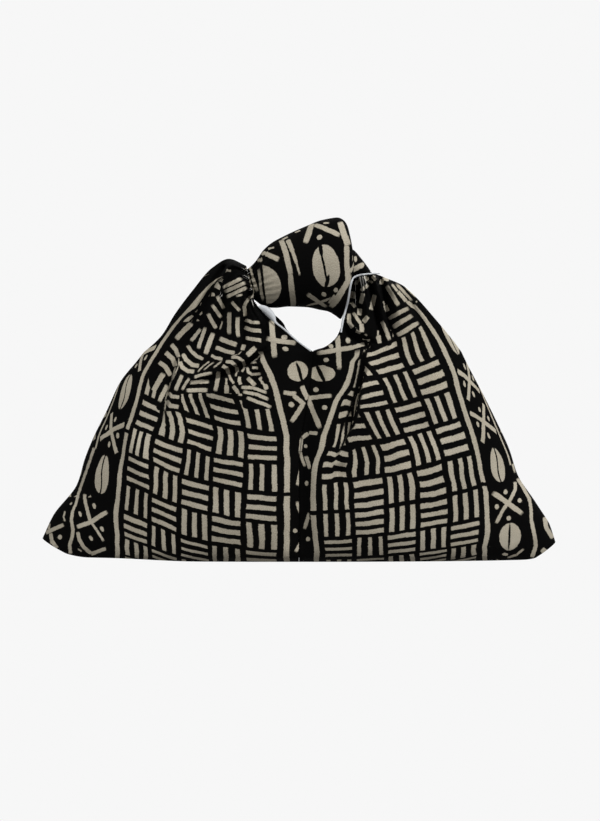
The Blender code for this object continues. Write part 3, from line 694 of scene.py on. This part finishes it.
        v = v - layout["foldDrop"] * beyondFold
    else:
        v = v - 3.5 * smooth((u - 90) / 50) * smooth((100 - v) / 40)
    # Where much print crosses little cloth, the rest of it is inside the fold, and there the print is painted out to
    # the dark ground as painted shade of the crease
    over, upward = lengthAlong(points, 1) * 1000, lengthAlong(points, 0) * 1000
    squeezed = np.abs(np.gradient(u, axis=1)) / np.maximum(0.05, np.gradient(over, axis=1))
    pressed = np.abs(np.gradient(v, axis=0)) / np.maximum(0.05, np.gradient(upward, axis=0))
    paintedCreaseShade = np.maximum(smooth((squeezed - 1.9) / 1.0), smooth((pressed - 2.6) / 1.2))
    paintedCreaseShade = np.where((face < 0) & (s > 0.02) & (s < 0.98), paintedCreaseShade, 0)
    return points, np.stack([u, v], -1) / 1000, cloth, asSeen, paintedCreaseShade


def tubeShape(sections, look):
    numbered = [dict(row, number=i) for i, row in enumerate(sections)]
    share, around = [np.linspace(0, 1, look[name] + 1) for name in ("rows", "sides")]
    share, around = np.meshgrid(share, around, indexing="ij")
    number = share * (len(sections) - 1)
    column = {name: through(numbered, "number", name, number) for name in sections[0]}
    topX, footX = column["topX"] * halfWidth, column["footX"] * halfWidth
    topZ, footZ = heightOf(column["topRise"]), heightOf(column["footRise"])
    angle = 2 * math.pi * around
    bulge = look["belly"] * halfWidth * np.sin(angle) ** 2 * smooth((share - 0.5) / 0.25)
    length = np.hypot(topX - footX, topZ - footZ) / 2
    pleats = 0.0016 * np.cos(17 * angle + 1) * (1 - smooth(share / 0.42)) + 0.0009 * np.cos(29 * angle)
    pleats = pleats * (1 - smooth(share / 0.5))
    ripple = 1 + pleats / length
    x = (topX + footX) / 2 + (topX - footX) / 2 * np.cos(angle) * ripple + bulge
    z = (topZ + footZ) / 2 + (topZ - footZ) / 2 * np.cos(angle) * ripple
    y = -column["depth"] * look["depth"] / 2 * np.sin(angle) * ripple
    lift = math.pi / 2 - np.where(angle > math.pi, 2 * math.pi - angle, angle)
    v = (topZ + footZ) / 2 + (topZ - footZ) / 2 * (0.5 * np.sin(lift) + 0.4 * lift)
    u = x + 0.12 * np.maximum(0, share - 0.83)
    return np.stack([x, y, z], -1), seenPlace(np.stack([u, -np.abs(y), v], -1))


def clothPiece(name, points, uv, materials, wall, turnedIn=0, seen=None, paintedCreaseShade=None):
    rows, columns = points.shape[:2]
    corner = np.arange(rows * columns).reshape(rows, columns)
    faces = np.stack([corner[:-1, :-1], corner[:-1, 1:], corner[1:, 1:], corner[1:, :-1]], -1).reshape(-1, 4)
    mesh = bpy.data.meshes.new(name)
    mesh.from_pydata(points.reshape(-1, 3).tolist(), [], faces.tolist())
    for label, places in (("cloth", uv), ("view", uv if seen is None else seen)):
        layer = mesh.uv_layers.new(name=label)
        flat = places.reshape(-1, 2)[faces.reshape(-1)]
        layer.data.foreach_set("uv", flat.reshape(-1).astype(np.float32))
    # The painted crease shade, which darkens the print in deep folds, is kept on the points
    if paintedCreaseShade is not None:
        shade = mesh.attributes.new("paintedCreaseShade", "FLOAT", "POINT")
        shade.data.foreach_set("value", paintedCreaseShade.reshape(-1).astype(np.float32))
    piece = bpy.data.objects.new(name, mesh)
    bpy.context.scene.collection.objects.link(piece)
    for material in materials:
        mesh.materials.append(material)
    bpy.ops.object.select_all(action="DESELECT")
    piece.select_set(True)
    bpy.context.view_layer.objects.active = piece
    bpy.ops.object.mode_set(mode="EDIT")
    bpy.ops.mesh.select_all(action="SELECT")
    bpy.ops.mesh.remove_doubles(threshold=0.000001)
    bpy.ops.object.mode_set(mode="OBJECT")
    if wall:
        solid = piece.modifiers.new("wall", "SOLIDIFY")
        solid.thickness = wall
        solid.offset = -1
        solid.material_offset = 1
        bpy.ops.object.modifier_apply(modifier="wall")
        if turnedIn:
            for i in range(len(faces)):
                if min(i % (columns - 1), columns - 2 - i % (columns - 1)) < turnedIn:
                    mesh.polygons[len(faces) + i].material_index = 0
    bpy.ops.object.shade_smooth()
    return piece


# Materials
def fill(tree, socket, value):
    if isinstance(value, bpy.types.NodeSocket):
        tree.links.new(value, socket)
    else:
        socket.default_value = value


def added(tree, kind, inputs, **settings):
    # A new node's outputs. Each of its inputs is set to a number or a color, or linked to another node
    node = tree.nodes.new(kind)
    for key, value in settings.items():
        setattr(node, key, value)
    for label, value in inputs.items():
        fill(tree, node.inputs[label], value)
    return node.outputs


def mathIn(tree):
    # Calls such as m("+", a, b) add a math node, and the other operations go by Blender's names
    signs = {
        "+": "ADD", "-": "SUBTRACT", "*": "MULTIPLY", "/": "DIVIDE", "%": "FLOORED_MODULO", "<": "LESS_THAN",
        ">": "GREATER_THAN",
    }

    def m(sign, *values, clamp=False):
        operation = signs.get(sign, sign)
        return added(tree, "ShaderNodeMath", dict(enumerate(values)), operation=operation, use_clamp=clamp)[0]
    return m


def noiseOf(tree, place, scale, detail):
    return added(tree, "ShaderNodeTexNoise", {"Vector": place, "Scale": scale, "Detail": detail})


def mixed(tree, factor, low, high):
    return added(tree, "ShaderNodeMix", {"Factor": factor, "A": low, "B": high}, data_type="RGBA")["Result"]


def startGroup(name, inputs, outputs):
    tree = bpy.data.node_groups.new(name, "ShaderNodeTree")
    kinds = {"Place": "NodeSocketVector", "Color": "NodeSocketColor"}
    for labels, way in ((inputs, "INPUT"), (outputs, "OUTPUT")):
        for label in labels.split():
            tree.interface.new_socket(label, in_out=way, socket_type=kinds.get(label, "NodeSocketFloat"))
    source, result = tree.nodes.new("NodeGroupInput"), tree.nodes.new("NodeGroupOutput")
    return tree, mathIn(tree), source.outputs, result.inputs


def useGroup(tree, group, **values):
    return added(tree, "ShaderNodeGroup", values, node_tree=group)


def makeMotifs():
    # A cross with four dots, or a cowrie bean, in millimetres from its middle
    tree, m, given, result = startGroup("borderMotifs", "Across Along Cross Bean", "Mask")
    look, a, t = motifLook, given["Across"], given["Along"]
    bars = 0.0
    for turn in look["armTurns"]:
        c, s = math.cos(turn), math.sin(turn)
        beside = m("ABSOLUTE", m("-", m("*", a, c), m("*", t, s)))
        along = m("ABSOLUTE", m("+", m("*", a, s), m("*", t, c)))
        bar = m("*", m("-", look["armHalf"], beside), 2.5, clamp=True)
        end = m("*", m("-", look["armReach"], along), 2.0, clamp=True)
        bars = m("MAXIMUM", bars, m("*", bar, end))
    dots = 0.0
    for besideX, besideY in look["dots"]:
        gapX = m("/", m("-", a, besideX), look["dotHalf"])
        gapY = m("/", m("-", t, besideY), look["dotReach"])
        gap = m("SQRT", m("+", m("*", gapX, gapX), m("*", gapY, gapY)))
        dots = m("MAXIMUM", dots, m("*", m("-", 1.0, gap), 6.0, clamp=True))
    across, along = m("/", a, look["beanHalf"]), m("/", t, look["beanReach"])
    oval = m("+", m("*", across, across), m("*", along, along))
    bean = m("*", m("-", 1.0, oval), 12.0, clamp=True)
    sway = m("*", m("SINE", m("/", t, look["slitPeriod"])), look["slitSway"])
    slit = m("-", m("ABSOLUTE", m("-", a, sway)), look["slitHalf"])
    bean = m("*", bean, m("*", slit, 2.5, clamp=True))
    mask = m("+", m("*", bean, given["Bean"]), m("*", m("MAXIMUM", bars, dots), given["Cross"]))
    fill(tree, result["Mask"], mask)
    return tree


def makeStamp():
    # One hand-printed mark: an oval at Corner 2, a bar with square ends at a high Corner
    tree, m, given, result = startGroup("printStamp", "Across Along Half Reach Turn Corner", "Mask")
    c, s = m("COSINE", given["Turn"]), m("SINE", given["Turn"])
    beside = m("-", m("*", given["Across"], c), m("*", given["Along"], s))
    along = m("+", m("*", given["Across"], s), m("*", given["Along"], c))
    near = m("POWER", m("ABSOLUTE", m("/", beside, given["Half"])), given["Corner"])
    far = m("POWER", m("ABSOLUTE", m("/", along, given["Reach"])), given["Corner"])
    away = m("POWER", m("+", near, far), m("/", 1.0, given["Corner"]))
    mask = m("*", m("-", 1.0, away), m("*", given["Half"], 2.5), clamp=True)
    fill(tree, result["Mask"], mask)
    return tree


def stamped(tree, u, v, marks):
    # Bars and ovals add to what is printed so far, and cuts and trims take from it
    m = mathIn(tree)
    printed = 0.0
    for mark in marks:
        kind = mark.get("kind", "bar")
        mask = useGroup(
            tree, printStamp, Across=m("-", u, mark["x"]), Along=m("-", v, mark["height"]),
            Half=mark["half"], Reach=mark["reach"], Turn=math.radians(mark["turn"]),
            Corner=7.0 if kind in ("bar", "trim") else 2.0,
        )["Mask"]
        if kind in ("cut", "trim"):
            printed = m("*", printed, m("-", 1.0, mask))
        else:
            printed = m("MAXIMUM", printed, mask)
    return printed


def makeHandWobble():
    # The unsteady hand of a block print: it shifts the print's place a little
    tree, m, given, result = startGroup("handWobble", "Place Amount", "U V")
    slow, quick = [
        added(tree, "ShaderNodeSeparateColor", {0: noiseOf(tree, given["Place"], scale, detail)["Color"]})
        for scale, detail in ((38.0, 1.0), (420.0, 2.0))
    ]
    split = added(tree, "ShaderNodeSeparateXYZ", {0: given["Place"]})
    for label, axis, channel in (("U", "X", "Red"), ("V", "Y", "Green")):
        big = m("*", m("-", slow[channel], 0.5), m("*", given["Amount"], 2.4))
        small = m("*", m("-", quick[channel], 0.5), 1.3)
        fill(tree, result[label], m("+", m("*", split[axis], 1000.0), m("+", big, small)))
    return tree


def makeBasket():
    # Blocks of three bars that turn from block to block, as in a basket weave
    tree, m, given, result = startGroup("basketBlocks", "U V", "Mask")
    c = m("/", m("-", given["U"], layout["basketStart"]), layout["cell"])
    r = m("/", given["V"], layout["cellRise"])
    column, row = m("FLOOR", c), m("FLOOR", r)
    inColumn, inRow = m("-", c, column), m("-", r, row)
    turned = m("%", m("+", column, row), 2.0)
    straight = m("-", 1.0, turned)
    over = m("+", m("*", inColumn, straight), m("*", inRow, turned))
    along = m("+", m("*", inRow, straight), m("*", inColumn, turned))
    block = added(tree, "ShaderNodeCombineXYZ", {0: column, 1: row})[0]
    chance = added(tree, "ShaderNodeTexWhiteNoise", {"Vector": block})["Color"]
    luck = added(tree, "ShaderNodeSeparateColor", {0: chance})
    shift, thick, reach = [
        m("*", m("-", luck[channel], 0.5), spread) for channel, spread in (
            ("Red", basketLook["shift"]), ("Green", basketLook["barHalf"][1]), ("Blue", basketLook["barReach"][1]),
        )
    ]
    over = m("+", over, shift)
    thick, reach = m("+", basketLook["barHalf"][0], thick), m("+", basketLook["barReach"][0], reach)
    bars = m("*", over, 3.0)
    inBar = m("ABSOLUTE", m("-", m("-", bars, m("FLOOR", bars)), 0.5))
    bar = m("*", m("-", thick, inBar), 20.0, clamp=True)
    inside = m("*", m("-", 0.5, m("ABSOLUTE", m("-", over, 0.5))), 60.0, clamp=True)
    end = m("*", m("-", reach, m("ABSOLUTE", m("-", along, 0.5))), 50.0, clamp=True)
    within = m("*", m(">", column, -0.5), m("<", column, layout["cellsAcross"] - 0.5))
    fill(tree, result["Mask"], m("*", m("*", bar, end), m("*", inside, within)))
    return tree


def makeCanvas():
    # The canvas: fine threads both ways, uneven ink, and a height for the bump
    tree, m, given, result = startGroup("canvasWeave", "Place Ink", "Color Height Roughness")
    threads = {"Vector": given["Place"], "Scale": 260.0, "Distortion": 1.5, "Detail": 1.0, "Detail Scale": 2.0}
    waves = [added(tree, "ShaderNodeTexWave", threads, bands_direction=way)["Fac"] for way in ("X", "Y")]
    weave = m("*", m("+", *waves), 0.5)
    speckle, cloud = [noiseOf(tree, given["Place"], scale, 3.0)["Fac"] for scale in (1100.0, 16.0)]
    grain = m("+", m("*", speckle, 1.30), m("*", weave, 0.16))
    light = m("+", 0.09, m("+", grain, m("*", cloud, 0.34)))
    pale, ground = mixed(tree, cloud, *clothLook["print"]), mixed(tree, speckle, *clothLook["ground"])
    shaded = added(tree, "ShaderNodeVectorMath", {0: pale, "Scale": light}, operation="SCALE")["Vector"]
    ink = m("*", given["Ink"], m("+", 0.90, m("*", speckle, 0.16)), clamp=True)
    fill(tree, result["Color"], mixed(tree, ink, ground, shaded))
    fill(tree, result["Height"], m("+", m("*", weave, 0.7), m("*", speckle, 0.5)))
    fill(tree, result["Roughness"], m("+", 0.80, m("*", speckle, 0.14)))
    return tree


def startMaterial(name, shine):
    material = bpy.data.materials.new(name)
    material.use_nodes = True
    shader = material.node_tree.nodes["Principled BSDF"].inputs
    shader["Specular IOR Level"].default_value = shine
    return material, material.node_tree, shader


def finishMaterial(tree, shader, color, roughness, height, distance):
    bump = added(tree, "ShaderNodeBump", {"Strength": 0.5, "Distance": distance, "Height": height})["Normal"]
    for label, value in (("Base Color", color), ("Roughness", roughness), ("Normal", bump)):
        fill(tree, shader[label], value)


def makePrinted(name, drawInk):
    material, tree, shader = startMaterial(name, clothLook["printedShine"])
    place, view = [added(tree, "ShaderNodeUVMap", {}, uv_map=layer)["UV"] for layer in ("cloth", "view")]
    canvas = useGroup(tree, canvasWeave, Place=place, Ink=drawInk(tree, place, view))
    finishMaterial(tree, shader, canvas["Color"], canvas["Roughness"], canvas["Height"], clothLook["printedBump"])
    return material


def makePlain(name, color, scale):
    # The unprinted reverse and the pale hems
    material, tree, shader = startMaterial(name, clothLook["plainShine"])
    grain = noiseOf(tree, added(tree, "ShaderNodeTexCoord", {})["Object"], scale, 3.0)["Fac"]
    tone = mixed(tree, grain, (*[c * clothLook["plainDark"] for c in color], 1), (*color, 1))
    rough = added(tree, "ShaderNodeMapRange", {"Value": grain, "To Min": 0.75, "To Max": 0.95})["Result"]
    finishMaterial(tree, shader, tone, rough, grain, clothLook["plainBump"])
    return material


def drawHalf(side):
    half = halves[side]

    def draw(tree, place, view):
        m = mathIn(tree)
        hand = useGroup(tree, handWobble, Place=place, Amount=layout["clothWobble"])
        u, v = hand["U"], hand["V"]
        fromJoint = m("ABSOLUTE", m("-", v, half["joint"]))
        local = m("-", m("%", m("+", u, 10.0), layout["repeat"]), 10.0)
        pastSeam = m(">", u, -6.0)
        blocks = m("*", useGroup(tree, basketBlocks, U=local, V=fromJoint)["Mask"], pastSeam)
        stripes = 0.0
        places = (0.0, layout["stripeTwo"], layout["stripeThree"])
        for away, width, stop, top in zip(places, layout["stripeHalves"], half["breaks"], half["tops"]):
            if side < 0 and away == layout["stripeTwo"]:
                # The left half's outer stripe is broadest where it passes over the neck
                broad = m("/", m("ABSOLUTE", m("-", v, layout["broadAt"])), layout["broadReach"])
                broad = m("-", 1.0, broad, clamp=True)
                width = m("+", width, m("*", broad, layout["broadBy"]))
            line = m("-", width, m("ABSOLUTE", m("-", local, away)))
            gap = m("-", m("ABSOLUTE", m("-", v, stop)), layout["breakHalf"])
            line = m("*", m("*", line, 2.5, clamp=True), m("*", gap, 2.0, clamp=True))
            line = m("*", line, m("*", m("-", top, v), 0.3, clamp=True))
            stripes = m("MAXIMUM", stripes, m("*", line, pastSeam))
        # The border's step runs from one motif to the next, wherever they sit
        motifs = half["motifs"]
        step = 0.0
        for low, high in zip(motifs, motifs[1:]):
            step = m("+", step, m("/", m("-", v, low["v"]), high["v"] - low["v"], clamp=True))
        number = m("ROUND", step)
        kinds = {"cross": 0.0, "bean": 0.0}
        for i, motif in enumerate(motifs):
            if motif["kind"] in kinds:
                kinds[motif["kind"]] = m("+", kinds[motif["kind"]], m("COMPARE", number, i, 0.3))
        second = m(">", local, layout["stripeThree"])
        middle = m("+", layout["borderMiddle"], m("*", second, layout["nextBorder"]))
        outer = useGroup(
            tree, borderMotifs, Across=m("-", local, middle), Cross=kinds["cross"], Bean=kinds["bean"],
            Along=m("*", m("-", step, number), layout["motifRise"]),
        )["Mask"]
        inBorder = m(">", local, layout["stripeTwo"] + 5.0)
        asSeen = useGroup(tree, handWobble, Place=view, Amount=layout["seenWobble"])
        middleMarks, zone, charted = [
            stamped(tree, asSeen["U"], asSeen["V"], half[group]) for group in ("middle", "zones", "charted")
        ]
        isMiddle = m("<", u, -4.0)
        outside = m("*", m("*", outer, inBorder), m("-", 1.0, isMiddle))
        motif = m("+", outside, m("*", middleMarks, isMiddle))
        # A zone leaves the long stripes and the middle border as they are, and only the front has zones
        ground = added(tree, "ShaderNodeTexCoord", {})["Object"]
        fromFront = added(tree, "ShaderNodeSeparateXYZ", {0: ground})["Y"]
        zone = m("*", zone, m("<", fromFront, layout["zoneDepth"]))
        margin = layout["zoneMargin"]
        inner = m("*", m("<", u, margin), m("<", v, half["tops"][0] + 1.0))
        fromOuter = m("-", layout["stripeTwo"], u)
        clear = m("MAXIMUM", m(">", fromOuter, margin), m(">", v, half["tops"][1] - 2.0))
        corner = m("*", m("<", fromOuter, -margin), m("<", v, layout["zoneFoot"]))
        clear = m("MAXIMUM", clear, corner)
        zone = m("*", m("*", zone, clear), m("-", 1.0, inner))
        ink = m("MAXIMUM", blocks, m("MAXIMUM", stripes, motif))
        # Deep creases take the dark ground instead of the print: painted shade
        shade = added(tree, "ShaderNodeAttribute", {}, attribute_name="paintedCreaseShade")["Fac"]
        ink = m("*", ink, m("-", 1.0, shade), clamp=True)
        return m("+", m("*", ink, m("-", 1.0, zone)), m("*", charted, zone), clamp=True)
    return draw


def drawWrap(tree, place, view):
    hand = useGroup(tree, handWobble, Place=view, Amount=layout["clothWobble"])
    return stamped(tree, hand["U"], hand["V"], wrapMarks)


borderMotifs = makeMotifs()
printStamp = makeStamp()
handWobble = makeHandWobble()
basketBlocks = makeBasket()
canvasWeave = makeCanvas()
leftPrint = makePrinted("leftPrint", drawHalf(-1))
rightPrint = makePrinted("rightPrint", drawHalf(1))
wrapPrint = makePrinted("wrapPrint", drawWrap)
reverse = makePlain("clothReverse", (0.62, 0.61, 0.57), 900.0)
hemWhite = makePlain("hemWhite", (0.60, 0.62, 0.64), 700.0)
print("materials are ready")

# Pieces
shapes, clothRows = {}, {}
for name, side, look, node in (("leftHalf", -1, leftPrint, "left_half"), ("rightHalf", 1, rightPrint, "right_half")):
    points, uv, cloth, asSeen, paintedCreaseShade = halfShape(side)
    shapes[name], clothRows[name] = points, cloth
    if side < 0:
        points, uv, asSeen, paintedCreaseShade = points[:, ::-1], uv[:, ::-1], asSeen[:, ::-1], paintedCreaseShade[:, ::-1]
    piece = clothPiece(name, points, uv, [look, reverse], bag["wall"], bag["turnedIn"], asSeen, paintedCreaseShade)
    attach(piece, "root")
    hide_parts(node)
    layerArea = sum(face.area for face in piece.data.polygons) / 2
    print(name, "is ready,", len(piece.data.polygons), "faces, one layer", round(layerArea, 4), "m2")

for name, sections, look, node in (
    ("knotWrap", wrapSections, wrap, "knot_wrap"), ("knotTip", tipSections, tip, "knot_tip"),
):
    points, uv = tubeShape(sections, look)
    shapes[name] = points
    piece = clothPiece(name, points, uv, [wrapPrint, reverse], bag["wall"])
    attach(piece, "root")
    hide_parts(node)
    layerArea = sum(face.area for face in piece.data.polygons) / 2
    print(name, "one layer measures", round(layerArea, 4), "m2")

# The pale edges of the opening: the left one along the left half's edge, the right one beside the knot
hem = {
    "wall": 0.0011,
    "inset": 0.0006,
    "shoulder": 0.6,
    "steps": 90,
    "near": 0.0022,
    "smoothing": 6,
    "ahead": 0.0004,
    "left": rowsOf(
        "cloth width", (1, 0.0006), (1.1, 0.0012), (1.16, 0.0015), (1.182, 0.002), (1.2, 0.0058), (1.225, 0.0078),
        (1.27, 0.007), (1.31, 0.0052), (1.345, 0.0026),
    ),
    "right": rowsOf(
        "share x height width", (0, 41.5, 226, 0.001), (0.14, 43.5, 237, 0.0014), (0.36, 48.5, 256, 0.0016),
        (0.55, 51.2, 273, 0.0014), (0.62, 53.5, 279, 0.0013), (0.72, 60, 282, 0.0011), (0.86, 70, 283.5, 0.0009),
        (1, 80, 284.5, 0.0004),
    ),
}


def leftHemLine():
    table, cloths = hem["left"], clothRows["leftHalf"][:, 0]
    onEdge = (cloths >= table[0]["cloth"]) & (cloths <= table[-1]["cloth"])
    return shapes["leftHalf"][onEdge, 0], through(table, "cloth", "width", cloths[onEdge])


def rightHemLine():
    # Along the neck's edge, on whichever of the neck and the knot lies in front there
    table, share = hem["right"], np.linspace(0, 1, hem["steps"])
    lineX, lineZ = [through(table, "share", key, share) / 1000 for key in ("x", "height")]
    fronts = np.concatenate([shapes[key].reshape(-1, 3) for key in ("rightHalf", "knotWrap")])
    fronts = fronts[fronts[:, 1] < 0]
    depths = np.full(len(share), np.nan)
    for i, (x, z) in enumerate(zip(lineX, lineZ)):
        near = np.hypot(fronts[:, 0] - x, fronts[:, 2] - z) < hem["near"]
        if near.any():
            depths[i] = fronts[near, 1].min()
    known = ~np.isnan(depths)
    depths = np.interp(share, share[known], depths[known])
    width = 2 * hem["smoothing"] + 1
    depths = np.convolve(np.pad(depths, hem["smoothing"], mode="edge"), np.ones(width) / width, mode="valid")
    return np.stack([lineX, depths - hem["ahead"], lineZ], -1), through(table, "share", "width", share)


for name, side, (line, widths) in (("leftHem", -1, leftHemLine()), ("rightHem", 1, rightHemLine())):
    step = np.gradient(line, axis=0)
    outward = np.stack([-side * np.abs(step[:, 2]), np.zeros(len(line)), np.abs(step[:, 0])], -1)
    outward /= np.linalg.norm(outward, axis=1, keepdims=True)
    reach, front = outward * widths[:, None], np.array([[0, -hem["wall"] / 2, 0]])
    foot, shoulder = line - outward * hem["inset"], line + reach * hem["shoulder"]
    ring = [foot + front, shoulder + front, line + reach, shoulder - front, foot - front]
    strip = np.stack(ring + ring[:1], 1)
    if side < 0:
        strip = strip[:, ::-1]
    over = np.cumsum(np.linalg.norm(np.diff(line, axis=0, prepend=line[:1]), axis=1))
    uv = np.stack(np.broadcast_arrays(np.linspace(0, 0.006, strip.shape[1])[None, :], over[:, None]), -1)
    piece = clothPiece(name, strip, uv, [hemWhite], None)
    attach(piece, "root")
print("hems are ready")

# The white room, a cylinder seen from inside, and the light and the camera
bpy.ops.object.select_all(action="DESELECT")
bpy.ops.mesh.primitive_cylinder_add(
    vertices=64, radius=studio["roomRadius"], depth=studio["roomHeight"],
    location=(0, 0, studio["roomHeight"] / 2 - studio["floorDrop"]),
)
floor = bpy.context.active_object
floor.name = "floor"
bpy.ops.object.transform_apply(location=True)
bpy.ops.object.mode_set(mode="EDIT")
bpy.ops.mesh.select_all(action="SELECT")
bpy.ops.mesh.normals_make_consistent(inside=True)
bpy.ops.object.mode_set(mode="OBJECT")
floorPaint, _tree, paint = startMaterial("floorPaint", 0)
paint["Base Color"].default_value = (0, 0, 0, 1)
paint["Emission Color"].default_value = (1, 1, 1, 1)
paint["Emission Strength"].default_value = studio["roomGlow"]
floor.data.materials.append(floorPaint)
floor.visible_diffuse = False
floor.visible_shadow = False

world = bpy.data.worlds.new("studioSky")
bpy.context.scene.world = world
world.use_nodes = True
sky = world.node_tree.nodes["Background"].inputs
sky["Color"].default_value = (1, 1, 1, 1)
sky["Strength"].default_value = studio["sky"]
target = Vector((studio["aimRight"], 0, targetHeight))
for name, place, spread, power in studio["suns"]:
    lamp = bpy.data.lights.new(name, "SUN")
    lamp.angle = math.radians(spread)
    lamp.energy = power
    sun = bpy.data.objects.new(name, lamp)
    sun.rotation_euler = (-Vector(place)).to_track_quat("-Z", "Y").to_euler()
    bpy.context.scene.collection.objects.link(sun)
lens = bpy.data.cameras.new("camera")
lens.sensor_width = studio["sensor"]
lens.lens = studio["sensor"] * studio["distance"] / (studio["photo"][1] / 1000)
camera = bpy.data.objects.new("camera", lens)
camera.location = target + studio["distance"] * Vector((0, -math.cos(tilt), math.sin(tilt)))
camera.rotation_euler = (target - camera.location).to_track_quat("-Z", "Y").to_euler()
bpy.context.scene.collection.objects.link(camera)
bpy.context.scene.camera = camera
bpy.context.scene.view_settings.view_transform = "Standard"
print("floor, light and camera are ready")
